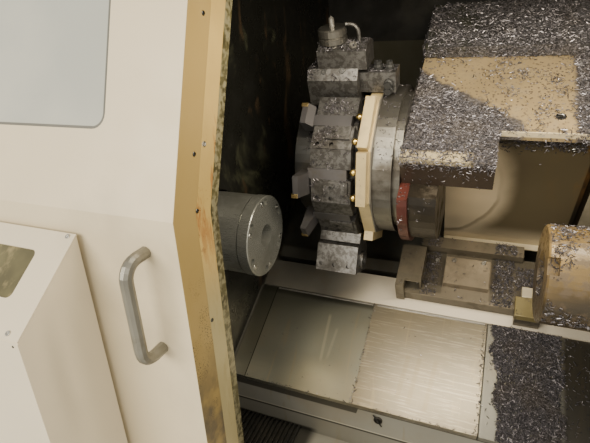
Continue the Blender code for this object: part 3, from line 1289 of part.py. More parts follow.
def wedge_block(left, right):
    """Block that seats on one flat of the disc and fills its share of the round."""
    slope = tan(pi / STATIONS)
    low = DISC_FLAT + GAP
    half = [(low * slope - HOLDER_SPLIT, low), (HOLDER_OUTER * slope - HOLDER_SPLIT, HOLDER_OUTER)]
    return along_x(mirrored(half), left, right)


def build_turning_tools():
    floor = SLOT_FLOOR + GAP
    slope = tan(pi / STATIONS)
    land = (CLAMP_LOW - HOLDER_OUTER * slope) / 2.0
    for order, index in enumerate(SQUARE_STATIONS):
        angle = station_angle(index)
        slot = box((HOLDER_LEFT_X - OVERRUN, SLOT_LOW, SLOT_FLOOR),
                   (HOLDER_RIGHT_X + OVERRUN, SLOT_HIGH, HOLDER_OUTER + OVERRUN))
        clamp = box((CLAMP_LEFT_X, CLAMP_LOW, SLOT_FLOOR), (CLAMP_RIGHT_X, CLAMP_HIGH, CLAMP_OUTER))
        place = CLAMP_LEFT_X + (CLAMP_RIGHT_X - CLAMP_LEFT_X) * CLAMP_HOLE_SHARE
        holes = [slot, radial_hole(CLAMP_HOLE, place, (CLAMP_LOW + CLAMP_HIGH) / 2.0, CLAMP_OUTER, CLAMP_HOLE_DEEP)]
        for share in LAND_HOLE_SHARES:
            place = HOLDER_LEFT_X + (HOLDER_RIGHT_X - HOLDER_LEFT_X) * share
            holes.append(radial_hole(CLAMP_HOLE, place, land, HOLDER_OUTER, CLAMP_HOLE_DEEP))
        solid = carved(merged([wedge_block(HOLDER_LEFT_X, HOLDER_RIGHT_X), clamp]), holes)
        piece("turning_holder_%d" % (order + 1), STEEL, turret_frame, [moved(solid, (0.0, 0.0, 0.0), angle)])
        low, high, nose = TOOL_HEADS[order]
        shank = box((TOOL_NECK_X - SHEET, SLOT_LOW + GAP, floor), (TOOL_RIGHT_X, SLOT_HIGH - GAP, TOOL_OUTER))
        middle = (TOOL_LEFT_X + TOOL_NECK_X) / 2.0
        head = [(TOOL_LEFT_X, floor), (TOOL_NECK_X, floor), (TOOL_NECK_X, TOOL_OUTER), (middle, nose),
                (TOOL_LEFT_X, nose)]
        tool = merged([shank, along_y(head, low, high)])
        piece("turning_tool_%d" % (order + 1), BLACK_STEEL, turret_frame, [moved(tool, (0.0, 0.0, 0.0), angle)])


def build_boring_holder():
    angle = station_angle(BORING_STATION)
    neck = BORING_NECK_HALF
    head = BORING_HEAD_HALF
    outline = [(neck, HOLDER_OUTER - SHEET), (neck, BORING_NECK_OUT), (head, BORING_SHOULDER_OUT),
               (head, BORING_HEAD_OUT)]
    boss = moved(rod(BORING_BOSS_RADIUS, BORING_RIGHT_X - SHEET, BORING_RIGHT_X + BORING_BOSS_LONG, SMALL_STEPS),
                 (0.0, 0.0, BORING_AXIS_OUT))
    block = merged([wedge_block(HOLDER_LEFT_X, HOLDER_RIGHT_X),
                    along_x(mirrored(outline), BORING_LEFT_X, BORING_RIGHT_X), boss])
    seat = moved(rod(bore(BORING_RADIUS, SMALL_STEPS), BORING_LEFT_X - OVERRUN, BORING_RIGHT_X + OVERRUN, SMALL_STEPS),
                 (0.0, 0.0, BORING_AXIS_OUT))
    holes = []
    for share in BORING_SCREW_SHARES:
        place = BORING_LEFT_X + (BORING_RIGHT_X - BORING_LEFT_X) * share
        hole = turned([(0.0, head + OVERRUN), (BORING_SCREW, head + OVERRUN), (BORING_SCREW, head - CLAMP_HOLE_DEEP),
                       (0.0, head - CLAMP_HOLE_DEEP)], HOLE_STEPS, axis="Y")
        holes.append(moved(hole, (place, 0.0, (BORING_AXIS_OUT + BORING_HEAD_OUT) / 2.0)))
    block = carved(carved(block, [together(holes)]), [seat])
    piece("boring_holder", STEEL, turret_frame, [moved(block, (0.0, 0.0, 0.0), angle)])
    bar = moved(rod(BORING_RADIUS, BORING_LEFT_X - BORING_REACH, BORING_RIGHT_X, SMALL_STEPS),
                (0.0, 0.0, BORING_AXIS_OUT))
    smooth(piece("boring_bar", STEEL, turret_frame, [moved(bar, (0.0, 0.0, 0.0), angle)]))


def build_driven_holder():
    angle = station_angle(DRIVEN_STATION)
    # The block hangs past the disc's left face, over the round face plate
    foot = mirrored([(DRIVEN_FOOT_HALF, DISC_FLAT + GAP), (DRIVEN_FLANGE_HALF, DRIVEN_FLANGE_OUT),
                     (DRIVEN_BODY_HALF, DRIVEN_DECK_OUT)])
    flange = along_x(foot, DRIVEN_LEFT_X, DRIVEN_RIGHT_X)
    top = mirrored([(DRIVEN_BODY_HALF, DRIVEN_DECK_OUT - SHEET), (DRIVEN_BODY_HALF, DRIVEN_SHOULDER),
                    (DRIVEN_TOP_HALF, DRIVEN_BODY_OUT)])
    body = along_x(top, DRIVEN_BODY_LEFT_X, DRIVEN_BODY_RIGHT_X)
    # The drive coupling reaches over the coolant ring to the drum
    drive = box((DRIVEN_RIGHT_X - SHEET, -DRIVE_HALF, DRIVE_LOW_OUT), (DRIVE_RIGHT_X, DRIVE_HALF, DRIVE_OUT))
    curve = bpy.data.curves.new("pipe", "CURVE")
    curve.dimensions = "3D"
    curve.bevel_depth = PIPE_RADIUS
    curve.bevel_resolution = 2
    curve.use_fill_caps = True
    foot = DRIVEN_BODY_OUT - SHEET
    bend = PIPE_BEND
    points = [(PIPE_X, 0.0, foot)]
    for step in range(ARC_STEPS + 1):
        turn = pi * step / ARC_STEPS / 2.0
        points.append((PIPE_X - bend + bend * cos(turn), 0.0, PIPE_RISE - bend + bend * sin(turn)))
    points.append((PIPE_X - bend - PIPE_REACH, 0.0, PIPE_RISE))
    spline = curve.splines.new("POLY")
    spline.points.add(len(points) - 1)
    for target, point in zip(spline.points, points):
        target.co = (*point, 1.0)
    pipe = evaluated_mesh(helper_object("pipe", curve))
    holder = merged([flange, body, drive, pipe])
    smooth(piece("driven_holder", STEEL, turret_frame, [moved(holder, (0.0, 0.0, 0.0), angle)]))
    seat = DRIVEN_BODY_OUT + GAP
    waist = (seat + NUT_OUT) / 2.0
    neck = NUT_RADIUS - NUT_GROOVE
    nut = turned([(0.0, NUT_OUT), (neck, NUT_OUT), (NUT_RADIUS, NUT_OUT - NUT_GROOVE), (NUT_RADIUS, waist),
                  (neck, waist - NUT_GROOVE), (NUT_RADIUS, waist - 2.0 * NUT_GROOVE), (NUT_RADIUS, seat),
                  (0.0, seat)], 24, axis="Z")
    smooth(piece("collet_nut", BLACK_STEEL, turret_frame, [moved(nut, (DRIVEN_X, 0.0, 0.0), angle)]))
    tip = NUT_OUT + GAP
    drill = turned([(0.0, DRILL_OUT), (DRILL_RADIUS, DRILL_OUT - DRILL_RADIUS), (DRILL_RADIUS, tip), (0.0, tip)],
                   12, axis="Z")
    smooth(piece("drill", STEEL, turret_frame, [moved(drill, (DRIVEN_X, 0.0, 0.0), angle)]))


# Tailstock with quill and live centre
def build_tailstock():
    low = LEDGE_TOP_V + GAP
    rail_low = TAIL_RAIL_U - GAP
    rail_high = TAIL_RAIL_U + TAIL_RAIL_WIDE + GAP
    outline = [(BASE_LOW_U, BASE_TOP_V), (BASE_LOW_U, low), (rail_low - BASE_SKIRT, low),
               (rail_low - BASE_SKIRT, BASE_SKIRT_V), (rail_low, BASE_SKIRT_V), (rail_low, TAIL_RAIL_V + GAP),
               (rail_high, TAIL_RAIL_V + GAP), (rail_high, BASE_SKIRT_V), (BASE_HIGH_U, BASE_SKIRT_V),
               (BASE_HIGH_U, BASE_TOP_V)]
    base = piece("tailstock_base", BROWN, tail_frame, [along_x(outline, BASE_LEFT_X, BASE_RIGHT_X)])
    join(base,
         box((PAD_LEFT_X, PAD_LOW_U, BASE_TOP_V - SHEET), (PAD_RIGHT_X, PAD_HIGH_U, PAD_TOP_V)),
         box((WIPER_LEFT_X, WIPER_LOW_U, low), (BASE_LEFT_X + SHEET, WIPER_HIGH_U, WIPER_TOP_V)),
         box((WIPER_LEFT_X, WIPER_LOW_U + OVERRUN, WIPER_TOP_V - SHEET), (WIPER_FOLD_X, WIPER_HIGH_U, WIPER_TOP_V)),
         box((WIPER_FOLD_X - SHEET, WIPER_LOW_U + OVERRUN, BASE_TOP_V - SHEET),
             (WIPER_FOLD_X, WIPER_HIGH_U, WIPER_TOP_V)),
         box((BAR_GUIDE_LEFT_X, BAR_GUIDE_LOW_U, BAR_GUIDE_LOW_V - BASE_SKIRT),
             (BAR_GUIDE_RIGHT_X, BAR_GUIDE_HIGH_U, BAR_GUIDE_TOP_V)),
         box((CLAMP_BLOCK_LEFT_X, CLAMP_BLOCK_LOW_U, low),
             (CLAMP_BLOCK_RIGHT_X, CLAMP_BLOCK_HIGH_U, CLAMP_BLOCK_TOP_V)))
    barrel = [(0.0, BARREL_RIGHT_X), (BARREL_RADIUS, BARREL_RIGHT_X), (BARREL_RADIUS, BARREL_LEFT_X + BARREL_BEVEL),
              (BARREL_RADIUS - BARREL_BEVEL, BARREL_LEFT_X), (0.0, BARREL_LEFT_X)]
    body = piece("tailstock_body", BROWN, tail_frame, [turned(barrel)])
    foot = BASE_TOP_V + GAP
    slant = sqrt(0.5)
    pedestal = [(-BARREL_RADIUS * slant, -BARREL_RADIUS * slant * slant), (CLAMP_BLOCK_HIGH_U + OVERRUN, foot),
                (BASE_HIGH_U, foot), (BARREL_RADIUS * slant, BARREL_RADIUS * slant * slant)]
    join(body, along_x(pedestal, PEDESTAL_LEFT_X, PEDESTAL_RIGHT_X))
    notch = box((BARREL_LEFT_X - OVERRUN, -NOTCH_HALF, BARREL_RADIUS - NOTCH_DEEP),
                (BARREL_LEFT_X + NOTCH_LONG, NOTCH_HALF, BARREL_RADIUS + OVERRUN))
    cut(body,
        rod(bore(QUILL_RADIUS), BARREL_LEFT_X - OVERRUN, QUILL_RIGHT_X + OVERRUN),
        moved(notch, (0.0, 0.0, 0.0), pi / 2.0 - NOTCH_ANGLE - SLIDE_TILT))
    smooth(body)
    socket = bore(CENTRE_STEM_RADIUS)
    quill = [(0.0, QUILL_RIGHT_X), (QUILL_RADIUS, QUILL_RIGHT_X), (QUILL_RADIUS, QUILL_LEFT_X), (socket, QUILL_LEFT_X),
             (socket, QUILL_LEFT_X + QUILL_SOCKET_DEEP), (0.0, QUILL_LEFT_X + QUILL_SOCKET_DEEP)]
    smooth(piece("quill", STEEL, quill_frame, [turned(quill)]))
    stem_end = QUILL_LEFT_X + QUILL_SOCKET_DEEP - GAP
    centre = [(0.0, stem_end), (CENTRE_STEM_RADIUS, stem_end), (CENTRE_STEM_RADIUS, QUILL_LEFT_X - GAP),
              (CENTRE_HEAD_RADIUS, QUILL_LEFT_X - GAP), (CENTRE_HEAD_RADIUS, CENTRE_HEAD_X), (0.0, CENTRE_TIP_X)]
    smooth(piece("live_centre", BLACK_STEEL, quill_frame, [turned(centre, 24)]))


# Operator panel with a sunk screen, keys, a stop button and a start button
def build_operator_panel():
    back = DOOR_FACE_Y + PANEL_DEPTH - GAP
    front = back - PANEL_THICK
    panel = piece("operator_panel", GREY, floor_frame,
                  [box((PANEL_LEFT_X, front, PANEL_LOW_Z), (PANEL_RIGHT_X, back, PANEL_HIGH_Z))])
    round_edges(panel, PANEL_EDGE, 2)
    keys = []
    for row in range(KEYS_ROWS):
        for column in range(KEYS_COLUMNS):
            x = KEYS_LEFT_X + column * KEY_PITCH
            z = KEYS_LOW_Z + row * KEY_PITCH
            keys.append(box((x, front - KEY_RISE, z), (x + KEY_SIZE, front + SCREEN_DEEP, z + KEY_SIZE)))
    recess = box((SCREEN_LEFT_X, front - OVERRUN, SCREEN_LOW_Z), (SCREEN_RIGHT_X, front + SCREEN_DEEP, SCREEN_HIGH_Z))
    join(panel, together(keys))
    cut(panel, recess)

    def control(name, material, x, z, profile, stem, deep):
        hole = turned([(0.0, deep), (bore(stem, SMALL_STEPS), deep), (bore(stem, SMALL_STEPS), -OVERRUN),
                       (0.0, -OVERRUN)], SMALL_STEPS, axis="Y")
        cut(panel, moved(hole, (x, front, z)))
        node = piece(name, material, floor_frame, [moved(turned(profile, SMALL_STEPS, axis="Y"), (x, front, z))])
        smooth(node)

    stop = [(0.0, BUTTON_DEEP), (STOP_STEM, BUTTON_DEEP), (STOP_STEM, -STOP_STANDOFF), (STOP_RADIUS, -STOP_STANDOFF),
            (STOP_RADIUS, -STOP_STANDOFF - STOP_CAP / 2.0), (STOP_RADIUS / 2.0, -STOP_STANDOFF - STOP_CAP),
            (0.0, -STOP_STANDOFF - STOP_CAP)]
    control("stop_button", STOP_RED, STOP_X, STOP_Z, stop, STOP_STEM, BUTTON_DEEP + STOP_STANDOFF)
    start = [(0.0, BUTTON_DEEP), (START_RADIUS, BUTTON_DEEP), (START_RADIUS, -START_RISE), (0.0, -START_RISE)]
    control("start_button", GREEN, START_X, START_Z, start, START_RADIUS, BUTTON_DEEP + START_RISE)


# Electrical cabinet on the back with a hinged door
def build_cubicle():
    low = (CUBICLE_LEFT_X, BACK_Y + GAP, CUBICLE_LOW_Z)
    high = (CUBICLE_RIGHT_X, CUBICLE_BACK_Y, CUBICLE_HIGH_Z)
    cubicle = piece("electrical_cabinet", CREAM, floor_frame, [box(low, high)])
    cut(cubicle, box([value + SHEET for value in low],
                     (high[0] - SHEET, high[1] + OVERRUN, high[2] - SHEET)))
    front = CUBICLE_BACK_Y + GAP
    door = box((low[0], front, low[2]), (high[0], front + CUBICLE_DOOR, high[2]))
    parts = [door]
    hinge_y = front + CUBICLE_DOOR / 2.0
    hinge_x = CUBICLE_LEFT_X - HINGE_OUT
    for z in (low[2] + HINGE_INSET, high[2] - HINGE_INSET - HINGE_LONG):
        knuckle = turned([(0.0, z + HINGE_LONG), (HINGE_RADIUS, z + HINGE_LONG), (HINGE_RADIUS, z), (0.0, z)],
                         12, axis="Z")
        leaf = box((hinge_x, hinge_y - SHEET / 2.0, z), (low[0] + SHEET, hinge_y + SHEET / 2.0, z + HINGE_LONG))
        parts += [moved(knuckle, (hinge_x, hinge_y, 0.0)), leaf]
    latch_right = high[0] - LATCH_INSET
    middle = (low[2] + high[2]) / 2.0
    parts.append(box((latch_right - LATCH_WIDE, front + CUBICLE_DOOR - SHEET, middle - LATCH_TALL / 2.0),
                     (latch_right, BOX_BACK_Y, middle + LATCH_TALL / 2.0)))
    hinge_line = empty("cabinet_hinge", (hinge_x, hinge_y, 0.0), floor_frame)
    leaf_mesh = merged(parts)
    leaf_mesh.transform(Matrix.Translation((-hinge_x, -hinge_y, 0.0)))
    piece("cabinet_door", CREAM, hinge_line, [leaf_mesh])


bed_front_y = build_bed()
build_enclosure()
build_door_rails()
build_door()
build_handle()
build_gauge_cabinet()
build_chamber()
build_trough(bed_front_y)
build_covers()
build_z_screw()
build_headstock()
build_spindle()
build_chuck()
build_collet()
build_spindle_drive()
build_saddle()
build_cross_slide()
build_turret_housing()
build_turret()
build_turning_tools()
build_boring_holder()
build_driven_holder()
build_tailstock()
build_operator_panel()
build_cubicle()
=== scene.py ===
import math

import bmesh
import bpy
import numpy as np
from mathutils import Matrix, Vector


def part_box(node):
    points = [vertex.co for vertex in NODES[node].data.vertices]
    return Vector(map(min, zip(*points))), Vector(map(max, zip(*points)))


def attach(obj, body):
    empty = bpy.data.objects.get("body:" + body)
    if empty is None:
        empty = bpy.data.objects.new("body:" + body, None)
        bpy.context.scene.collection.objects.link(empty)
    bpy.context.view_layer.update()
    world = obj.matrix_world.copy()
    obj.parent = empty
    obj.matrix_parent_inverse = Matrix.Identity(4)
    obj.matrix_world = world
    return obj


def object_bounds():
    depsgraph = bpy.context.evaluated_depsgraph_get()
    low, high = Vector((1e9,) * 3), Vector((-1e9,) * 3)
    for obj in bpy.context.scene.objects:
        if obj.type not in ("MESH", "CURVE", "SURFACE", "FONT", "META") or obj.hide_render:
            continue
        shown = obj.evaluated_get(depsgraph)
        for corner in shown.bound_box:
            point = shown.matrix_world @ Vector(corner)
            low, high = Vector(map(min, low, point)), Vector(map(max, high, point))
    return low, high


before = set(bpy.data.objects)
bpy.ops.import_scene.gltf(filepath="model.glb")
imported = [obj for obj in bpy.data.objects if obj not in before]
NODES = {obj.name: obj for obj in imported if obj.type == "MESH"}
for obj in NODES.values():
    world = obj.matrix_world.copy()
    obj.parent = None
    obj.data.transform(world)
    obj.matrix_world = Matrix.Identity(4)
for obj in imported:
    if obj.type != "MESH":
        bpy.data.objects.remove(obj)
cad_low, cad_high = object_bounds()

# %% [markdown]
# The CAD part is now in the scene as a fixed frame: a slant-bed turning lathe, seen through its open doorway.
# The bounds of the plain solids are kept, and the shell's finish reads its end and roof from them. On this
# lathe most things lie on a slope of 30 degrees. So places are given in the slope's own terms, counted from
# the spindle's axis: x along the machine, u up the slope and v square off it. Plain height and depth would
# work too, but would match no number that its maker would measure.

SPINDLE = Vector((0.0, -0.29, 1.042))
TILT = math.radians(30.0)
UP_SLOPE = Vector((0.0, math.cos(TILT), math.sin(TILT)))
OFF_SLOPE = Vector((0.0, -math.sin(TILT), math.cos(TILT)))


def slope(x, u, v):
    """A point given along the machine, up the slope and square to the slope."""
    return SPINDLE + Vector((x, 0.0, 0.0)) + UP_SLOPE * u + OFF_SLOPE * v


# %% [markdown]
# Every finish is a node material. They share a few habits: a broad tone change, so that no sheet is one
# flat colour; a grime or oil layer that gathers in low noise; a roughness that follows the grime; and a
# fine bump. A painted picture would need unwrapping and would blur close up, so everything is worked out
# from the point's own place instead. For these parts object coordinates are the machine's coordinates,
# so grime can lie at a height or beside an edge. A small builder class keeps each recipe short.


# %% Material builder
class Paint:
    """One finish. A share is a value from 0 to 1 that says where a layer covers."""

    def __init__(self, name, color, roughness=0.5, metallic=0.0):
        self.material = bpy.data.materials.new(name)
        self.material.use_nodes = True
        self.tree = self.material.node_tree
        self.shader = self.tree.nodes["Principled BSDF"]
        self.shader.inputs["Metallic"].default_value = metallic
        self.shader.inputs["Roughness"].default_value = roughness
        self.color = color
        self.place = self.node("ShaderNodeTexCoord").outputs["Object"]

    def node(self, kind, **settings):
        node = self.tree.nodes.new(kind)
        for key, value in settings.items():
            setattr(node, key, value)
        return node

    def feed(self, socket, value):
        """Link a socket, or set a number or a colour on it."""
        if isinstance(value, bpy.types.NodeSocket):
            self.tree.links.new(value, socket)
        elif isinstance(value, (tuple, list)) and len(value) == 3 and len(socket.default_value) == 4:
            socket.default_value = (*value, 1.0)
        else:
            socket.default_value = value

    def math(self, operation, a, b=0.0):
        node = self.node("ShaderNodeMath", operation=operation)
        self.feed(node.inputs[0], a)
        self.feed(node.inputs[1], b)
        return node.outputs["Value"]

    def times(self, *values):
        """The product, which for shares is where they all cover."""
        result = values[0]
        for value in values[1:]:
            result = self.math("MULTIPLY", result, value)
        return result

    def plus(self, *values):
        result = values[0]
        for value in values[1:]:
            result = self.math("ADD", result, value)
        return result

    def band(self, value, low, high, out_low=0.0, out_high=1.0):
        """Rises softly from low to high. With low above high it falls instead."""
        node = self.node("ShaderNodeMapRange", interpolation_type="SMOOTHSTEP")
        self.feed(node.inputs["Value"], value)
        limits = {"From Min": low, "From Max": high, "To Min": out_low, "To Max": out_high}
        for name, number in limits.items():
            node.inputs[name].default_value = number
        return node.outputs["Result"]

    def line(self, value, centre, outer, inner):
        """A thin line at a centre, full within inner and gone past outer."""
        return self.band(self.math("ABSOLUTE", self.math("SUBTRACT", value, centre)), outer, inner)

    def along(self, direction, start=(0.0, 0.0, 0.0)):
        """Distance of a point from a start point along a direction, in metres."""
        node = self.node("ShaderNodeVectorMath", operation="DOT_PRODUCT")
        self.feed(node.inputs[0], self.place)
        node.inputs[1].default_value = direction
        shift = sum(a * b for a, b in zip(direction, start))
        return self.math("SUBTRACT", node.outputs["Value"], shift)

    def x(self, start=0.0):
        return self.along((1.0, 0.0, 0.0), (start, 0.0, 0.0))

    def y(self, start=0.0):
        return self.along((0.0, 1.0, 0.0), (0.0, start, 0.0))

    def z(self):
        return self.along((0.0, 0.0, 1.0))

    def u(self):
        return self.along(UP_SLOPE, SPINDLE)

    def v(self):
        return self.along(OFF_SLOPE, SPINDLE)

    def stretched(self, stretch, turn=0.0):
        """Coordinates that draw a texture out, after a turn about the machine's length."""
        where = self.place
        if turn:
            turned = self.node("ShaderNodeMapping", vector_type="POINT")
            self.feed(turned.inputs["Vector"], where)
            turned.inputs["Rotation"].default_value = (turn, 0.0, 0.0)
            where = turned.outputs["Vector"]
        scaled = self.node("ShaderNodeMapping")
        self.feed(scaled.inputs["Vector"], where)
        scaled.inputs["Scale"].default_value = stretch
        return scaled.outputs["Vector"]

    def tilted(self, stretch):
        """The same in the slope's own frame."""
        return self.stretched(stretch, -TILT)

    def noise(self, scale, detail=4.0, rough=0.55, where=None, twist=0.0):
        node = self.node("ShaderNodeTexNoise")
        self.feed(node.inputs["Vector"], where or self.place)
        numbers = {"Scale": scale, "Detail": detail, "Roughness": rough, "Distortion": twist}
        for name, number in numbers.items():
            node.inputs[name].default_value = number
        return node.outputs["Fac"]

    def patches(self, scale, low, high, detail=4.0, rough=0.55, where=None, twist=0.0):
        """Noise cut into soft-edged patches: nothing under low, full over high."""
        return self.band(self.noise(scale, detail, rough, where, twist), low, high)

    def dots(self, scale, outer, inner):
        """Round dots, one in each cell of a loose grid."""
        node = self.node("ShaderNodeTexVoronoi")
        self.feed(node.inputs["Vector"], self.place)
        node.inputs["Scale"].default_value = scale
        return self.band(node.outputs["Distance"], outer, inner)

    def attribute(self, name):
        return self.node("ShaderNodeAttribute", attribute_name=name).outputs["Fac"]

    def mix(self, share, first, second):
        node = self.node("ShaderNodeMix", data_type="RGBA")
        self.feed(node.inputs["Factor"], share)
        self.feed(node.inputs["A"], first)
        self.feed(node.inputs["B"], second)
        return node.outputs["Result"]

    def layer(self, color, *shares):
        """Lay a colour over the finish so far, where all the shares cover."""
        self.color = self.mix(self.times(*shares), self.color, color)

    def tone(self, scale, spread):
        """Slow light and dark variation over the whole surface."""
        value = self.band(self.noise(scale, 3.0), 0.3, 0.7, 1.0 - spread, 1.0 + spread)
        node = self.node("ShaderNodeVectorMath", operation="SCALE")
        self.feed(node.inputs[0], self.color)
        self.feed(node.inputs["Scale"], value)
        self.color = node.outputs["Vector"]

    def rough(self, value):
        self.feed(self.shader.inputs["Roughness"], value)

    def bump(self, height, strength, distance):
        node = self.node("ShaderNodeBump")
        self.feed(node.inputs["Height"], height)
        node.inputs["Strength"].default_value = strength
        node.inputs["Distance"].default_value = distance
        self.feed(self.shader.inputs["Normal"], node.outputs["Normal"])

    def done(self):
        self.feed(self.shader.inputs["Base Color"], self.color)
        return self.material


# %% [markdown]
# The enamel is a warm cream with a fine orange-peel texture, as sprayed and baked sheet has. Hands leave
# broad grey smudges, and oil leaves a few dark specks. The orange peel is bump only, because it is far
# finer than anything a mesh should hold.

# %% Enamel
CREAM_TONE = (0.66, 0.57, 0.39)
SMUDGE_SHADE = 0.55


def enamel(name, color, smudge=0.35, peel=0.25):
    paint = Paint(name, color, 0.42)
    paint.tone(1.6, 0.05)
    paint.layer(tuple(part * SMUDGE_SHADE for part in color), paint.patches(3.2, 0.52, 0.72, 5.0), smudge)
    paint.layer((0.05, 0.04, 0.03), paint.dots(260.0, 0.10, 0.06), paint.patches(9.0, 0.55, 0.75))
    paint.rough(paint.band(paint.noise(14.0), 0.3, 0.7, 0.34, 0.52))
    paint.bump(paint.noise(420.0, 2.0), peel, 0.0006)
    return paint


CREAM = enamel("cream_enamel", CREAM_TONE).done()
GAUGE_CREAM = enamel("gauge_enamel", (0.68, 0.60, 0.44), 0.2, 0.15).done()
GREY = enamel("grey_enamel", (0.16, 0.17, 0.18)).done()
STOP = enamel("stop_plastic", (0.55, 0.02, 0.015), 0.05, 0.05).done()
START = enamel("start_plastic", (0.03, 0.30, 0.08), 0.05, 0.05).done()
print("enamels ready, materials so far", len(bpy.data.materials))

# %% [markdown]
# The door's free edge is a flange that faces the chamber. Coolant has turned its paint straw yellow, and
# oil has left black freckles and brown grime low down. The flange could have its own material slot, but
# its place along the machine tells it from the rest of the door, so the solid stays as it is.

# %% Door enamel
DOOR_EDGE_X = -0.3855
STRAW = (0.30, 0.205, 0.060)

door_paint = enamel("door_enamel", CREAM_TONE)
door_height = door_paint.z()
on_edge = door_paint.band(door_paint.x(DOOR_EDGE_X - 0.0012), 0.0, 0.0008)
freckles = door_paint.patches(330.0, 0.56, 0.60, 3.0, 0.7)
cloud = door_paint.patches(16.0, 0.46, 0.60)
door_paint.layer(STRAW, on_edge, 0.95)
door_paint.layer((0.02, 0.018, 0.015), freckles, cloud, door_paint.band(door_height, 1.14, 1.02), on_edge)
grime = door_paint.patches(7.0, 0.40, 0.56, 5.0)
door_paint.layer((0.10, 0.08, 0.05), grime, door_paint.band(door_height, 1.00, 0.78), on_edge)
DOOR_ENAMEL = door_paint.done()
print("door flange from x", DOOR_EDGE_X)

# %% [markdown]
# The shell and the front panel are bent from one sheet each, cream outside and dark inside with oil and
# painted shade: near black above a set height, with a paler olive band below it. A sheet has two faces and
# one material here, so the finish asks how deep a point lies under the outer face, and turns dark past half
# the sheet. The panel has an upright part and a leaning part above its bend, and the smaller depth of the two
# counts.

# %% Sheets that are dark inside
PANEL_FACE_Y = -0.499
BEND_Z = 1.1957
LEAN = math.radians(19.55)
OLIVE_BAND_TOP_Z = 1.443
SHELL_BACK_Y = 0.6


def sheet_metal(name, depth_under_face):
    paint = enamel(name, CREAM_TONE)
    within = paint.band(depth_under_face(paint), 0.0014, 0.0017)
    # Inside the sheet: dark with oil and painted shade, near black above a set height and a paler olive band
    # below it.
    oil_and_shade = paint.mix(paint.patches(9.0, 0.45, 0.7, 5.0), (0.008, 0.008, 0.007), (0.022, 0.021, 0.016))
    paler_share = paint.times(paint.band(paint.z(), OLIVE_BAND_TOP_Z + 0.002, OLIVE_BAND_TOP_Z - 0.002), within)
    paint.layer(paint.mix(paler_share, oil_and_shade, (0.060, 0.056, 0.034)), within)
    gloss = paint.band(paint.noise(14.0), 0.3, 0.7, 0.34, 0.52)
    paint.rough(paint.plus(gloss, paint.times(within, 0.35)))
    return paint.done()


def shell_depth(paint):
    side = paint.math("SUBTRACT", cad_high[0], paint.math("ABSOLUTE", paint.x()))
    top = paint.math("SUBTRACT", cad_high[2], paint.z())
    back = paint.math("SUBTRACT", SHELL_BACK_Y, paint.y())
    return paint.math("MINIMUM", paint.math("MINIMUM", side, top), back)


def panel_depth(paint):
    upright = paint.y(PANEL_FACE_Y)
    leaning = paint.along((0.0, math.cos(LEAN), -math.sin(LEAN)), (0.0, PANEL_FACE_Y, BEND_Z))
    return paint.math("MINIMUM", upright, leaning)


SHELL = sheet_metal("shell_enamel", shell_depth)
PANEL = sheet_metal("panel_enamel", panel_depth)
print("shell's end, back and roof at", round(cad_high[0], 3), SHELL_BACK_Y, round(cad_high[2], 3))

# %% [markdown]
# The liner behind the door's flange is the same enamel after years of coolant: straw yellow, paler low down,
# with rust-brown runs above and one rusty place at the door's bend. The runs are noise drawn out along the
# height. The seal behind it is olive rubber with pale patches along its free edge.

# %% Liner and seal
liner = Paint("stained_liner", (0.44, 0.31, 0.105), 0.45)
height = liner.z()
liner.tone(5.0, 0.12)
liner.layer((0.36, 0.30, 0.15), liner.band(height, 1.14, 0.98))
rust = liner.patches(22.0, 0.50, 0.62, 6.0, 0.65, liner.stretched((1.0, 1.0, 0.22)))
liner.layer((0.28, 0.12, 0.025), rust, liner.band(height, 1.05, 1.22))
near_bend = liner.times(liner.band(height, 1.10, 1.18), liner.band(height, 1.36, 1.26))
liner.layer((0.16, 0.06, 0.015), liner.patches(48.0, 0.58, 0.66, 5.0, 0.7), near_bend)
liner.rough(liner.band(rust, 0.0, 1.0, 0.38, 0.75))
liner.bump(liner.noise(120.0, 4.0), 0.35, 0.0008)
LINER = liner.done()

seal = Paint("olive_seal", (0.060, 0.052, 0.020), 0.42)
seal.tone(30.0, 0.35)
free_edge = seal.band(seal.x(), DOOR_EDGE_X - 0.0025, DOOR_EDGE_X - 0.0008)
seal.layer((0.40, 0.36, 0.22), free_edge, seal.patches(90.0, 0.40, 0.60, 5.0), 0.4)
seal.bump(seal.noise(160.0, 3.0), 0.5, 0.0012)
SEAL = seal.done()
print("liner and seal ready")

# %% [markdown]
# The machined metals differ in tone and in how oily they are. All have a fine grain left by the tool and
# patches of oil film, which are darker and a little rougher. The patches are part of the metal's colour
# and not a clear coat, because the film on such parts is thin and brown. The holders are mottled as well.


# %% Machined metals
def metal(name, color, roughness=0.32, grain=(1.0, 40.0, 40.0), film=(0.10, 0.08, 0.05), film_share=0.5,
          metallic=1.0):
    paint = Paint(name, color, roughness, metallic)
    paint.tone(6.0, 0.18)
    streaks = paint.noise(60.0, 3.0, where=paint.stretched(grain))
    oily = paint.patches(11.0, 0.48, 0.66, 5.0, 0.6)
    paint.layer(film, oily, film_share)
    fine = paint.times(paint.band(streaks, 0.3, 0.7), 0.14)
    paint.rough(paint.plus(fine, paint.times(oily, 0.12), roughness - 0.06))
    paint.bump(streaks, 0.08, 0.0004)
    return paint


DARK_FILM = (0.05, 0.04, 0.028)
HOLDER_FILM = (0.05, 0.045, 0.036)
CHUCK_FILM = (0.09, 0.09, 0.07)
UPRIGHT_GRAIN = (40.0, 40.0, 1.0)

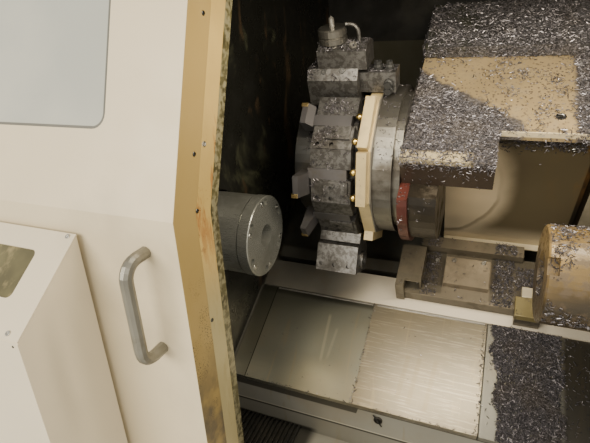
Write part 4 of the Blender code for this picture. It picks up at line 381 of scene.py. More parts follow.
STEEL = metal("ground_steel", (0.36, 0.345, 0.31), metallic=0.8).done()
TURRET_STEEL = metal("turret_steel", (0.145, 0.138, 0.12), 0.36, film=DARK_FILM, film_share=0.75,
                     metallic=0.85).done()
CLAMP_STEEL = metal("clamp_steel", (0.135, 0.13, 0.132), 0.36, metallic=0.8).done()
BRIGHT = metal("bright_steel", (0.66, 0.65, 0.60), 0.24, film_share=0.2).done()
CHUCK = metal("chuck_steel", (0.33, 0.335, 0.30), 0.30, film=CHUCK_FILM, film_share=0.4, metallic=0.7).done()
HANDLE = metal("handle_steel", (0.27, 0.26, 0.22), 0.34, UPRIGHT_GRAIN, metallic=0.75).done()
DARK_STEEL = metal("dark_steel", (0.10, 0.10, 0.095), 0.38, film_share=0.4).done()
PALE_SHEET = metal("pale_sheet", (0.52, 0.46, 0.33), 0.34, film_share=0.3, metallic=0.5).done()
BRASS = metal("brass", (0.72, 0.53, 0.17), 0.25, film_share=0.2).done()
YELLOW = metal("coated_insert", (0.62, 0.46, 0.20), 0.3, film_share=0.15).done()

holders = metal("holder_steel", (0.15, 0.146, 0.138), 0.38, film=HOLDER_FILM, film_share=0.8, metallic=0.8)
holders.layer((0.045, 0.040, 0.034), holders.patches(95.0, 0.44, 0.58, 5.0, 0.65), 0.65)
HOLDER_STEEL = holders.done()
print("machined metals ready, materials so far", len(bpy.data.materials))

# %% [markdown]
# The bed is oily grey iron. The ledge of it that shows beside the way covers is wiped pale by their edges and
# has a painted highlight that grows towards the tailstock, so it gets its own layer by its place up the slope
# and off it.

# %% Bed iron
LEDGE_V = -0.334
LEDGE_U = 0.135

bed = metal("cast_iron", (0.085, 0.082, 0.066), 0.50, (8.0, 8.0, 8.0), metallic=0.3)
on_ledge = bed.times(bed.band(bed.v(), LEDGE_V, LEDGE_V + 0.003), bed.band(bed.u(), LEDGE_U, LEDGE_U - 0.005))
# Pale bare metal on the ledge, with a painted highlight growing towards the tailstock.
bed.layer((0.66, 0.59, 0.46), on_ledge, bed.band(bed.x(), -0.34, -0.12, 0.08, 0.97))
IRON = bed.done()
print("ledge at v", LEDGE_V)

# %% [markdown]
# Castings have a coarse skin under their paint. The turret's housing is nearly black with oil, the ring
# beside it is painted red-brown, and the clamp block on the tailstock is olive. One recipe makes all three.


# %% Painted castings
def casting(name, color, stain):
    paint = Paint(name, color, 0.42, 0.2)
    paint.tone(7.0, 0.30)
    stains = paint.patches(18.0, 0.46, 0.66, 6.0, 0.65)
    paint.layer(stain, stains)
    paint.rough(paint.band(stains, 0.0, 1.0, 0.34, 0.60))
    paint.bump(paint.noise(110.0, 4.0), 0.35, 0.0012)
    return paint.done()


HOUSING = casting("oiled_housing", (0.015, 0.011, 0.006), (0.038, 0.029, 0.017))
RED = casting("red_ring", (0.080, 0.020, 0.014), (0.040, 0.018, 0.012))
OLIVE = casting("olive_block", (0.16, 0.13, 0.055), (0.09, 0.07, 0.04))
print("castings ready")

# %% [markdown]
# The tailstock's base is ground on top. The pockets beside its clamp plate and its skirt are dark with old
# oil and painted shade, the face behind the barrel has painted shade, and the wiper at its left end is dark
# with old oil. The barrel is painted ochre and blotched, and dark underneath with grime, where coolant runs
# together, and with painted shade. The dark part's edge is a height plus some noise, so that the dark ends in
# a ragged line.

# %% Tailstock base and barrel
OIL_AND_SHADE = (0.050, 0.043, 0.032)

base = Paint("ground_base", (0.26, 0.215, 0.15), 0.40, 0.4)
base_x, base_u, base_v = base.x(), base.u(), base.v()
base.tone(9.0, 0.25)
stained = base.patches(20.0, 0.46, 0.66, 6.0, 0.65)
base.layer((0.12, 0.092, 0.058), stained, 0.7)
deck = base.times(base.band(base_v, -0.279, -0.283), base.band(base_u, 0.078, 0.084))
beside_plate = base.plus(base.band(base_x, -0.001, -0.004), base.band(base_x, 0.113, 0.118))
front_margin = base.band(base_u, 0.108, 0.101)
skirt = base.band(base_v, -0.2925, -0.2955)
behind_barrel = base.band(base_u, 0.194, 0.200)
wiper = base.band(base_x, -0.050, -0.054)
# Pockets beside the clamp plate: old oil and painted shade.
base.layer(OIL_AND_SHADE, deck, beside_plate, 0.85)
base.layer((0.13, 0.112, 0.080), front_margin, 0.6)
# The skirt: old oil and painted shade.
base.layer(OIL_AND_SHADE, skirt, 0.75)
# Painted shade behind the barrel.
base.layer((0.085, 0.074, 0.052), behind_barrel, 0.65)
base.layer((0.115, 0.10, 0.068), wiper, 0.6)
base.rough(base.band(stained, 0.0, 1.0, 0.34, 0.58))
base.bump(base.noise(110.0, 4.0), 0.3, 0.001)
BASE_PLATE = base.done()

barrel = Paint("tailstock_paint", (0.20, 0.135, 0.052), 0.50)
barrel.tone(8.0, 0.35)
ragged_height = barrel.plus(barrel.z(), barrel.times(barrel.noise(12.0, 5.0), 0.08))
# Dark underneath: grime and painted shade, below a ragged height.
barrel.layer((0.038, 0.028, 0.015), barrel.band(ragged_height, 1.135, 1.060))
blots = barrel.patches(42.0, 0.47, 0.58, 6.0, 0.7)
barrel.layer((0.085, 0.060, 0.034), blots, 0.8)
barrel.rough(barrel.band(blots, 0.0, 1.0, 0.32, 0.6))
barrel.bump(barrel.noise(120.0, 4.0), 0.35, 0.0012)
TAILSTOCK = barrel.done()
print("tailstock finishes ready")

# %% [markdown]
# The coolant bars around the turret are beige, flecked with oil, and grey on the side that faces the drum.
# The left wall of the chamber is black and wet: olive coolant in broad patches, brown smears drawn down
# by the spray, and a few pale flecks of metal. Distorted noise gives the smears their curl.

# %% Coolant bars and the chamber's left wall
bars = Paint("coolant_bar", (0.44, 0.345, 0.175), 0.42, 0.2)
bars.tone(7.0, 0.18)
bars.layer((0.34, 0.27, 0.16), bars.patches(26.0, 0.5, 0.66, 5.0), 0.6)
bars.layer((0.13, 0.12, 0.10), bars.band(bars.x(), -0.1660, -0.1635))
bars.layer((0.06, 0.045, 0.03), bars.dots(120.0, 0.16, 0.08), bars.patches(30.0, 0.5, 0.6))
bars.bump(bars.noise(110.0, 4.0), 0.3, 0.001)
BAR = bars.done()

wall = Paint("chamber_wall", (0.016, 0.016, 0.013), 0.36, 0.2)
wall.layer((0.095, 0.098, 0.060), wall.patches(6.0, 0.54, 0.68, 6.0, 0.62, twist=0.6), 0.8)
smear = wall.patches(4.0, 0.56, 0.66, 6.0, 0.65, wall.stretched((1.0, 2.4, 0.9)), 1.2)
wall.layer((0.085, 0.056, 0.032), smear, 0.8)
wall.layer((0.16, 0.16, 0.15), wall.dots(70.0, 0.10, 0.04), wall.patches(5.0, 0.5, 0.7))
wall.rough(wall.band(wall.noise(12.0, 4.0), 0.3, 0.7, 0.22, 0.5))
wall.bump(wall.noise(60.0, 5.0), 0.3, 0.0015)
CHAMBER_WALL = wall.done()
print("bars and wall ready")

# %% [markdown]
# Way covers and trough are stainless sheet, brushed along the machine and wiped up and down the slope.
# Coolant dries on them in runs down the slope. The grain follows the slope's own frame, since a grain in
# plain height would slant across the sheet. A run that the photograph shows in a known place is a line
# between two points, and the others are stretched noise.


# %% Brushed sheet
def brushed(name, color, runs, scratch=0.0, warm=0.0, dull=0.28, metallic=0.8):
    paint = Paint(name, color, dull, metallic)
    paint.tone(2.2, 0.12)
    grain = paint.noise(110.0, 3.0, 0.5, paint.tilted((0.35, 24.0, 1.0)))
    cross = paint.noise(45.0, 3.0, 0.5, paint.tilted((22.0, 0.5, 1.0)))
    marks = paint.patches(30.0, 0.52, 0.64, 5.0, 0.6, paint.tilted((0.5, 9.0, 1.0)))
    drips = paint.patches(7.0, 0.60, 0.68, 3.0, 0.5, paint.tilted((5.0, 0.55, 1.0)), 0.8)
    paint.layer((0.58, 0.53, 0.40), marks, scratch)
    paint.layer((0.34, 0.28, 0.17), drips, runs)
    paint.layer((0.30, 0.235, 0.13), paint.patches(3.0, 0.45, 0.70, 5.0, 0.6), 0.35 + warm)
    paint.rough(paint.plus(paint.times(paint.plus(grain, cross), 0.14), dull - 0.10))
    paint.bump(paint.plus(grain, paint.times(cross, 0.4)), 0.10, 0.0003)
    return paint


def streak(paint, start, end, width, color, share):
    """A dried run between two points, each given along the machine and up the slope."""
    length = end[1] - start[1]
    lean = (end[0] - start[0]) / length
    up_slope = paint.along(UP_SLOPE, slope(0.0, start[1], 0.0))
    aside = paint.math("SUBTRACT", paint.x(start[0]), paint.times(up_slope, lean))
    ends = paint.times(paint.band(up_slope, 0.0, -0.012), paint.band(up_slope, length, length + 0.02))
    paint.layer(color, paint.line(aside, 0.0, width, 0.3 * width), ends, share)


# %% [markdown]
# The left way cover is smooth. It has painted shade from the turret at its upper left and a painted highlight
# at its foot, two pale runs cross it, a painted shadow lies along its top edge, and a dark seam shows near
# its left end. The right one is scratched, with three brown runs below the tailstock.

# %% Way covers
PALE_RUN = (0.44, 0.41, 0.30)
BROWN_RUN = (0.19, 0.15, 0.09)
SEAM_X = -0.474

left_cover = brushed("way_cover_smooth", (0.25, 0.25, 0.20), 0.35)
left_x, left_u = left_cover.x(), left_cover.u()
# Painted shade at the upper left, from the turret, strongest towards the left end.
shade_right = left_cover.band(left_x, -0.20, -0.40, 0.25, 1.0)
left_cover.layer((0.080, 0.082, 0.060), left_cover.band(left_u, -0.14, 0.02), shade_right, 0.75)
# Painted highlight at the foot.
foot_highlight = left_cover.line(left_x, -0.285, 0.12, 0.0)
left_cover.layer((0.62, 0.56, 0.38), left_cover.band(left_u, -0.14, -0.215), foot_highlight, 0.7)
streak(left_cover, (-0.291, -0.015), (-0.281, -0.164), 0.0060, PALE_RUN, 0.4)
streak(left_cover, (-0.260, -0.052), (-0.266, -0.154), 0.0055, PALE_RUN, 0.3)
# Painted shadow along the top edge, where the ledge meets the cover.
left_cover.layer((0.050, 0.047, 0.036), left_cover.band(left_u, 0.012, 0.027), 0.75)
left_cover.layer((0.085, 0.085, 0.062), left_cover.band(left_x, SEAM_X + 0.0005, SEAM_X - 0.001), 0.55)
left_cover.layer((0.030, 0.030, 0.022), left_cover.line(left_x, SEAM_X, 0.0016, 0.0008))
COVER_LEFT = left_cover.done()

right_cover = brushed("way_cover_scratched", (0.225, 0.20, 0.148), 0.30, 0.22)
for run_x, run_low in ((-0.058, -0.215), (-0.030, -0.225), (0.010, -0.230)):
    streak(right_cover, (run_x, -0.085), (run_x - 0.012, run_low), 0.0085, BROWN_RUN, 0.32)
COVER_RIGHT = right_cover.done()
print("way covers ready")

# %% [markdown]
# The stepped cover over the cross slide is pale beige on top, with dark specks, and dark brown on the face
# under its lip, with a painted highlight along the lip's front edge at the right. Needles of swarf lie on it
# in a slanting pile. Between them the sheet itself looks like felt, so the paint goes dark under the pile
# too, and no needle has to hide what is below it.

# %% Slide cover
cover = Paint("slide_cover_sheet", (0.37, 0.28, 0.150), 0.40, 0.30)
cover_x, cover_u, cover_v = cover.x(), cover.u(), cover.v()
cover.tone(5.0, 0.16)
dust = cover.patches(24.0, 0.50, 0.66, 6.0, 0.65)
cover.layer((0.30, 0.24, 0.15), dust, 0.6)
specks = cover.times(cover.dots(125.0, 0.36, 0.22), cover.patches(16.0, 0.40, 0.56, 4.0, 0.6))
cover.layer((0.085, 0.065, 0.060), specks, 0.85)

slant = cover.plus(cover_u, cover.times(cover_x, 0.763), cover.times(cover.noise(32.0, 5.0, 0.7), 0.06))
by_lip = cover.times(cover.band(cover_u, 0.178, 0.168), cover.band(cover_x, 0.055, 0.035))
bare_by_lip = cover.math("SUBTRACT", 1.0, cover.times(by_lip, 0.8))
piled = cover.times(cover.band(slant, 0.412, 0.392), cover.band(cover_x, 0.142, 0.125), bare_by_lip)
piled = cover.math("MAXIMUM", piled, cover.band(cover_x, 0.222, 0.236))
felt = cover.mix(cover.patches(210.0, 0.42, 0.62, 4.0, 0.7), (0.045, 0.042, 0.045), (0.16, 0.15, 0.155))
cover.layer((0.72, 0.62, 0.38), by_lip, 0.55)
cover.layer(felt, piled, 0.92)

# Dark brown on the face under the lip.
cover.layer((0.040, 0.027, 0.018), cover.band(cover_v, 0.134, 0.128), cover.band(cover_u, 0.20, 0.19))
# Painted highlight along the lip's front edge, at the right.
lip_front = cover.times(cover.band(cover_v, 0.1290, 0.1300), cover.band(cover_u, 0.2425, 0.2415))
cover.layer((0.80, 0.68, 0.44), lip_front, cover.band(cover_x, 0.091, 0.094), 0.9)
cover.rough(cover.band(dust, 0.0, 1.0, 0.32, 0.55))
cover.bump(cover.noise(190.0, 4.0), 0.25, 0.0008)
SLIDE_COVER = cover.done()
print("slide cover ready")

# %% [markdown]
# The upper cover hardly shows. What is bare of swarf is a dark crust of oil and dust, olive at its left.

# %% Upper cover
crust = Paint("upper_cover_crust", (0.040, 0.038, 0.034), 0.5, 0.3)
crust.tone(14.0, 0.4)
crust.layer((0.17, 0.158, 0.165), crust.patches(190.0, 0.46, 0.60, 4.0, 0.7))
crust.layer((0.040, 0.042, 0.026), crust.patches(17.0, 0.48, 0.60), crust.band(crust.x(), 0.06, -0.02), 0.85)
crust.bump(crust.noise(160.0, 5.0, 0.7), 0.9, 0.003)
UPPER_COVER = crust.done()
print("upper cover ready")

# %% [markdown]
# The slide's front sheet has a painted reflection at its lower left, inside a curved tide mark, and is brown
# with burnt oil outside the mark. The curve is an ellipse around a point on the sheet, with noise added to
# its radius. The right edge and the strip under the lip have painted deep shade, the far corner is scorched,
# and the flange at its foot has a painted highlight.

# %% Slide front sheet
TIDE_CENTRE_X, TIDE_CENTRE_V = -0.03, -0.09
TIDE_REACH_X, TIDE_REACH_V = 0.140, 0.190
FLANGE_V = -0.3110

# The base colour is a painted reflection, which shows inside the tide mark at the lower left.
sheet = Paint("slide_front_sheet", (0.72, 0.60, 0.41), 0.34, 0.35)
sheet_x, sheet_v = sheet.x(), sheet.v()
sheet.tone(5.0, 0.10)
far_x = sheet.math("DIVIDE", sheet.x(TIDE_CENTRE_X), TIDE_REACH_X)
far_v = sheet.math("DIVIDE", sheet.along(OFF_SLOPE, slope(0.0, 0.0, TIDE_CENTRE_V)), TIDE_REACH_V)
radius = sheet.math("SQRT", sheet.plus(sheet.times(far_x, far_x), sheet.times(far_v, far_v)))
radius = sheet.plus(radius, sheet.times(sheet.noise(9.0, 4.0), 0.16))
below = sheet.band(sheet_v, -0.235, -0.285)
lightened = sheet.math("SUBTRACT", 1.0, sheet.times(below, 0.5))
outside = sheet.times(sheet.band(radius, 1.02, 1.42), lightened)
tide = sheet.times(sheet.band(radius, 1.03, 1.07), sheet.band(radius, 1.15, 1.08))
tide = sheet.times(tide, sheet.band(sheet_v, -0.10, -0.17, 0.25, 1.0))
scorch = sheet.patches(14.0, 0.42, 0.62, 5.0, 0.6, sheet.tilted((1.0, 1.0, 0.35)))
corner = sheet.times(sheet.band(sheet_x, 0.19, 0.27), sheet.band(sheet_v, -0.16, 0.02))
sheet.layer((0.085, 0.066, 0.032), outside, 0.93)
# Painted deep shade at the right edge.
sheet.layer((0.008, 0.007, 0.006), sheet.band(sheet_x, 0.2795, 0.2825), 0.92)
# Painted shade on the strip under the lip.
sheet.layer((0.030, 0.023, 0.014), sheet.band(sheet_v, 0.035, 0.075), 0.8)
sheet.layer((0.16, 0.125, 0.075), tide, 0.6)
sheet.layer((0.27, 0.13, 0.030), scorch, corner, 0.8)
# Painted highlight on the flange at the foot.
sheet.layer((0.74, 0.66, 0.48), sheet.band(sheet_v, FLANGE_V + 0.0006, FLANGE_V), 0.9)
sheet.rough(sheet.band(outside, 0.0, 1.0, 0.30, 0.42))
sheet.bump(sheet.noise(80.0, 3.0, where=sheet.tilted((20.0, 1.0, 0.6))), 0.10, 0.0003)
FRONT_PLATE = sheet.done()
print("slide front ready")

# %% [markdown]
# The trough below the way covers is folded sheet. Its rear wall is darker than its lip, with a painted dark
# line in the fold's crease and a painted highlight just above it, a painted shadow under the lip, and black
# over the conveyor. The lip is higher under the right-hand way cover, so the painted shadow under it starts
# higher there. The plate under the tailstock is the same sheet, dark with painted shade at its right end,
# past its swarf.

# %% Trough and chip plate
FOLD_Z = 0.527
LIP_Z = 0.579
LIP_STEP_X = -0.165
LIP_STEP_TALL = 0.016

trough = brushed("trough_sheet", (0.41, 0.40, 0.345), 0.3, 0.0, 0.1, 0.36, 0.5)
trough_x, trough_z = trough.x(), trough.z()
rear_wall = trough.band(trough.y(), -0.316, -0.3135)
taller = trough.band(trough_x, LIP_STEP_X - 0.003, LIP_STEP_X + 0.003, 0.0, LIP_STEP_TALL)
under_lip = trough.band(trough.math("SUBTRACT", trough_z, taller), LIP_Z, LIP_Z + 0.003)
# Painted shadow under the lip, on the rear wall.
trough.layer((0.045, 0.042, 0.030), under_lip, rear_wall, 0.85)
trough.layer((0.16, 0.155, 0.125), rear_wall, trough.band(trough_z, 0.531, 0.529), 0.45)
# Painted shade line in the fold's crease.
trough.layer((0.035, 0.033, 0.025), rear_wall, trough.line(trough_z, FOLD_Z, 0.0030, 0.0022), 0.85)
# Painted highlight line just above the fold.
trough.layer((0.66, 0.62, 0.50), rear_wall, trough.line(trough_z, FOLD_Z + 0.0045, 0.0018, 0.0010), 0.8)
# Black at the left foot, over the conveyor.
dark_over_conveyor = trough.times(trough.band(trough_z, 0.488, 0.480), trough.band(trough_x, -0.27, -0.30))
trough.layer((0.022, 0.021, 0.016), dark_over_conveyor, 0.9)
TROUGH = trough.done()

plate = brushed("chip_plate_sheet", (0.20, 0.195, 0.165), 0.3, 0.0, 0.1, 0.36, 0.5)
# Painted shade at the right end, past the swarf.
plate.layer((0.026, 0.022, 0.016), plate.band(plate.x(), 0.285, 0.300), 0.85)
CHIP_PLATE = plate.done()
print("trough and plate ready")

# %% [markdown]
# The door's pane is dim glass with a hazy film and a dark rim where its gasket starts. The photograph
# gives no clear view through it, so it's an opaque finish with a clear coat and not real glass, which
# would show the empty chamber. The rim follows the opening's round corners: a point's distance past the
# straight part of the edge, in both directions, is its distance from the corner's centre.

# %% Panes
WINDOW_LAP = 0.0225
WINDOW_CORNER = 0.028

glass = Paint("door_pane", (0.41, 0.42, 0.375), 0.12)
paler_share = glass.patches(4.0, 0.35, 0.7)
pane_low, pane_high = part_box("door_window")


def past_core(value, low, high):
    """How far a point is past the straight part of the opening's edge, along one direction."""
    off = glass.math("ABSOLUTE", glass.math("SUBTRACT", value, (low + high) / 2.0))
    core = (high - low) / 2.0 - WINDOW_LAP - WINDOW_CORNER
    return glass.math("MAXIMUM", glass.math("SUBTRACT", off, core), 0.0)


up_lean = glass.math("DIVIDE", glass.z(), math.cos(LEAN))
wide = past_core(glass.x(), pane_low[0], pane_high[0])
tall = past_core(up_lean, pane_low[2] / math.cos(LEAN), pane_high[2] / math.cos(LEAN))
from_corner = glass.math("SQRT", glass.plus(glass.times(wide, wide), glass.times(tall, tall)))
rim = glass.band(from_corner, WINDOW_CORNER - 0.0055, WINDOW_CORNER - 0.0045)
glass.layer((0.54, 0.53, 0.44), paler_share, 0.5)
glass.layer((0.10, 0.095, 0.078), rim, 0.85)
glass.rough(glass.band(paler_share, 0.0, 1.0, 0.08, 0.25))
glass.shader.inputs["Coat Weight"].default_value = 0.6
GLASS = glass.done()

bottle = Paint("gauge_pane", (0.13, 0.115, 0.05), 0.15)
bottle.tone(9.0, 0.4)
drawn_out = bottle.stretched((1.0, 0.25, 1.0))
bottle.layer((0.27, 0.22, 0.10), bottle.patches(30.0, 0.5, 0.68, 5.0, where=drawn_out))
bottle.shader.inputs["Coat Weight"].default_value = 0.5
GAUGE_GLASS = bottle.done()

rubber = Paint("black_rubber", (0.015, 0.015, 0.014), 0.6)
rubber.tone(20.0, 0.3)
RUBBER = rubber.done()
print("materials", len(bpy.data.materials))

# %% [markdown]
# Each CAD node takes its finish here. One table shows at a glance what is made of what. The tools and
# holders on the turret aren't in it, because the loop tells them by their names.

# %% Finish per node
WEAR = {
    "door_skin": DOOR_ENAMEL, "door_liner": LINER, "door_seal": SEAL, "door_window": GLASS,
    "door_handle": HANDLE, "front_panel": PANEL, "enclosure_shell": SHELL, "gauge_cabinet": GAUGE_CREAM,
    "gauge_plate": GAUGE_CREAM, "gauge_window": GAUGE_GLASS, "electrical_cabinet": CREAM,
    "cabinet_door": CREAM, "base_skirt": GREY, "operator_panel": GREY, "spindle_motor": GREY,
    "headstock_bulkhead": CHAMBER_WALL, "tailstock_bulkhead": CHAMBER_WALL, "turret_ring": RED,
    "cross_slide": HOUSING, "turret_housing": HOUSING, "tailstock_base": BASE_PLATE,
    "tailstock_body": TAILSTOCK, "bed_casting": IRON, "headstock": IRON, "saddle": IRON,
    "z_screw_drive": IRON, "upper_door_rail": STEEL, "sill_rail": STEEL, "bearing_cartridge": STEEL,
    "spindle_shaft": STEEL, "chuck_body": CHUCK, "chuck_nose": CHUCK, "motor_pulley": STEEL,
    "turret_drum": TURRET_STEEL, "tool_disc": DARK_STEEL, "boring_bar": BRIGHT,
    "driven_holder": HOLDER_STEEL, "drill": STEEL, "quill": STEEL, "chip_trough": TROUGH,
    "way_cover_left": COVER_LEFT, "way_cover_right": COVER_RIGHT, "chip_plate": CHIP_PLATE,
    "upper_cover": UPPER_COVER, "slide_front_plate": FRONT_PLATE, "slide_cover": SLIDE_COVER,
    "drawtube_collet": DARK_STEEL, "drive_belt": RUBBER, "collet_nut": TURRET_STEEL,
    "live_centre": DARK_STEEL, "coolant_ring": BAR, "stop_button": STOP, "start_button": START,
}
for name, node in NODES.items():
    finish = WEAR.get(name)
    if finish is None:
        finish = CLAMP_STEEL if "turning_tool" in name else HOLDER_STEEL if "holder" in name else DARK_STEEL
    node.data.materials.clear()
    node.data.materials.append(finish)
print("told by name:", [name for name in NODES if name not in WEAR])

# %% [markdown]
# The small fittings that the solids leave out are built from a few simple forms: a slab given in slope
# terms, a turned profile, and a bar between two points. A form gathers the points and faces of many like
# pieces, so that all the screws of one body are one mesh, which is what a designer would select together.
# Each form then rides on its body. Modifiers could turn a profile too, but a loop says it in a few lines.


# %% Form builder
class Form:
    def __init__(self):
        self.points, self.faces = [], []

    def add(self, points, faces):
        start = len(self.points)
        self.points += [tuple(point) for point in points]
        self.faces += [tuple(start + index for index in face) for face in faces]

    def hexahedron(self, corners):
        self.add(corners, [(0, 1, 3, 2), (4, 6, 7, 5), (0, 4, 5, 1),
                           (2, 3, 7, 6), (0, 2, 6, 4), (1, 5, 7, 3)])

    def slab(self, low, high):
        """A block between two corners, each given along the machine, up the slope and off the slope."""
        xs, us, vs = zip(low, high)
        self.hexahedron([slope(x, u, v) for x in xs for u in us for v in vs])

    def lathe(self, profile, place, axis, sides=16):
        """A turned solid from (radius, height) pairs, foot first. A last pair below its rim is a recess."""
        axis = Vector(axis).normalized()
        side = axis.orthogonal().normalized()
        other = axis.cross(side)
        points = []
        for radius, height in profile:
            for step in range(sides):
                angle = 2.0 * math.pi * step / sides
                offset = side * (radius * math.cos(angle)) + other * (radius * math.sin(angle))
                points.append(Vector(place) + offset + axis * height)
        faces = [tuple(reversed(range(sides)))]
        for ring in range(len(profile) - 1):
            for step in range(sides):
                here, there = ring * sides + step, ring * sides + (step + 1) % sides
                faces.append((here, there, there + sides, here + sides))
        last = (len(profile) - 1) * sides
        faces.append(tuple(range(last, last + sides)))
        self.add(points, faces)

    def cap_screw(self, place, axis, radius, tall):
        bevel, socket = 0.12 * radius, 0.52 * radius
        self.lathe([(radius, 0.0), (radius, tall - bevel), (radius - bevel, tall), (socket, tall),
                    (socket, tall * 0.35)], place, axis, 14)

    def bar(self, start, end, radius):
        start, end = Vector(start), Vector(end)
        bevel = 0.25 * radius
        length = (end - start).length
        self.lathe([(radius - bevel, 0.0), (radius, bevel), (radius, length - bevel),
                    (radius - bevel, length)], start, end - start, 14)

    def ball(self, centre, radius):
        arcs = [math.pi * (0.08 + 0.84 * step / 6.0) for step in range(7)]
        profile = [(radius * math.sin(angle), -radius * math.cos(angle)) for angle in arcs]
        self.lathe(profile, centre, (0.0, 0.0, 1.0), 12)

    def build(self, name, body, material, bevel=0.0):
        mesh = bpy.data.meshes.new(name)
        mesh.from_pydata(self.points, [], self.faces)
        mesh.materials.append(material)
        mesh.shade_smooth()
        mesh.set_sharp_from_angle(angle=math.radians(32.0))
        obj = bpy.data.objects.new(name, mesh)
        bpy.context.scene.collection.objects.link(obj)
        if bevel:
            edge = obj.modifiers.new("edge", "BEVEL")
            edge.width = bevel
            edge.segments = 2
            edge.limit_method = "ANGLE"
        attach(obj, body)
        print(name, len(self.faces), "faces on", body)
        return obj


# %% [markdown]
# Six cap screws hold the chuck's nose ring. They sit in their counterbores on a circle, 60 degrees apart,
# so a loop over the angle places them.

# %% Chuck screws
NOSE_X = -0.40
COUNTERBORE_DEPTH = 0.007
SCREW_COUNT = 6
SCREW_CIRCLE = 0.084
SCREW_FIRST = 37.0

screws = Form()
for count in range(SCREW_COUNT):
    angle = math.radians(SCREW_FIRST + 360.0 / SCREW_COUNT * count)
    around = Vector((0.0, math.cos(angle), math.sin(angle))) * SCREW_CIRCLE
    foot = Vector((NOSE_X - COUNTERBORE_DEPTH, SPINDLE.y, SPINDLE.z))
    screws.cap_screw(foot + around, (1.0, 0.0, 0.0), 0.0075, 0.0075)
screws.build("chuck_screws", "spindle", BRIGHT)

# %% [markdown]
# The turret turns on an axis of its own, up the slope from the spindle, and has ten stations. Its small
# parts are given by station: along the axis, out from it and across. So the same numbers serve for every
# station that has the same holder.

# %% Turret stations
TURRET = SPINDLE + UP_SLOPE * 0.282
STATION_COUNT = 10
STATION_FIRST = -34.7
STATION_STEP = 360.0 / STATION_COUNT


def station(index, x, out, side=0.0):
    """A point of the turret: along its axis, out from the axis, and across the station."""
    angle = math.radians(STATION_FIRST + STATION_STEP * index)
    radial = Vector((0.0, -math.cos(angle), math.sin(angle)))
    across = Vector((0.0, math.sin(angle), math.cos(angle)))
    return TURRET + Vector((x, 0.0, 0.0)) + radial * out + across * side


def outward(index):
    return (station(index, 0.0, 1.0) - station(index, 0.0, 0.0)).normalized()


print("turret axis at", [round(place, 4) for place in TURRET])

# %% [markdown]
# A socket screw holds each turning tool's clamp, and two hold the boring holder. Each turning tool carries
# a coated insert at its tip. The beige bars have brass ball nozzles that aim the coolant, seen as balls
# half sunk in the bar. The driven holder has two ring screws in front and black plugs where its lines end.

# %% Turret fittings
TOOL_STATIONS = (0, 1, 2)
NOZZLE_STATIONS = (9, 1, 2)
NOZZLE_SIDES = (0.014, -0.045)
INSERT_X = (-0.334, -0.318)
INSERT_THICK = 0.012
INSERTS = ((1, -0.046, -0.036, 0.2345), (2, 0.0285, 0.0378, 0.2146), (0, -0.0308, -0.0222, 0.2386))
BORING_SCREWS = ((-0.2937, -0.1518, 1.4056), (-0.2513, -0.1512, 1.4074))
RING_SCREWS_X = (-0.272, -0.2274)
RING = [(0.0085, 0.0), (0.0085, 0.003), (0.0055, 0.003), (0.0050, 0.0008)]
SIDE_PLUG = [(0.011, 0.0), (0.011, 0.012), (0.008, 0.014), (0.008, 0.022)]
DRIVEN_STATION = 3

clamp_screws, inserts, balls, plugs, rings = Form(), Form(), Form(), Form(), Form()
for index in TOOL_STATIONS:
    clamp_screws.cap_screw(station(index, -0.2512, 0.1935, -0.0255), outward(index), 0.0046, 0.0070)
for index, low, high, out in INSERTS:
    outs = (out - INSERT_THICK, out)
    inserts.hexahedron([station(index, x, r, s) for x in INSERT_X for r in outs for s in (low, high)])
for index in NOZZLE_STATIONS:
    for side in NOZZLE_SIDES:
        balls.ball(station(index, -0.1985, 0.199, side), 0.0078)
for place in BORING_SCREWS:
    clamp_screws.cap_screw(place, (0.0, -0.95, 0.30), 0.0066, 0.0035)
for x in RING_SCREWS_X:
    rings.lathe(RING, (x, -0.1485, 1.4605), (0.0, -0.71, 0.70), 16)
for x, radius in ((-0.178, 0.012), (-0.152, 0.010)):
    plugs.lathe([(radius, 0.0), (radius, 0.008), (radius * 0.75, 0.011), (radius * 0.75, 0.018),
                 (radius * 0.5, 0.018), (radius * 0.5, 0.012)],
                station(DRIVEN_STATION, x, 0.236, -0.004), outward(DRIVEN_STATION), 8)
sideways = station(DRIVEN_STATION, 0.0, 0.0, -1.0) - station(DRIVEN_STATION, 0.0, 0.0)
for out in (0.212, 0.198):
    plugs.lathe(SIDE_PLUG, station(DRIVEN_STATION, -0.150, out, -0.020), sideways, 8)
clamp_screws.build("holder_screws", "turret", DARK_STEEL)
inserts.build("tool_inserts", "turret", YELLOW, 0.0006)
balls.build("ball_nozzles", "turret", BRASS)
rings.build("ring_screws", "turret", STEEL)
plugs.build("drive_plugs", "turret", RUBBER)

# %% [markdown]
# The door's flange has four flush screws and a rivet, in line with the seal behind it. The gauge box has
# two screws near the corners of its sloped lid and a plug in its front. The screws start a little below
# the face that they stand on, so that no gap shows under them.

# %% Door and gauge fittings
SUNK = 0.0002
FLANGE_SCREWS = ((-0.4853, 1.5291), (-0.5598, 1.3132), (-0.5725, 1.2155), (-0.5711, 0.9893))
FLANGE_RIVET = (-0.5271, 1.3225)
LID_SCREWS = ((-0.6108, -0.6554, 1.1727), (-0.6233, -0.7991, 1.0602))
LID_NORMAL = Vector((0.0, -0.62, 0.79)).normalized()
GAUGE_PLUG = (-0.6084, -0.8070, 1.0429)

door_screws = Form()
for y, z in FLANGE_SCREWS:
    door_screws.cap_screw((DOOR_EDGE_X - SUNK, y, z), (1.0, 0.0, 0.0), 0.0042, 0.0016)
door_screws.build("door_screws", "door", DARK_STEEL)
rivet = Form()
rivet.lathe([(0.0055, 0.0), (0.0050, 0.0014), (0.0028, 0.0022), (0.0022, 0.0010)],
            (DOOR_EDGE_X - SUNK, *FLANGE_RIVET), (1.0, 0.0, 0.0))
rivet.build("door_rivet", "door", BRIGHT)

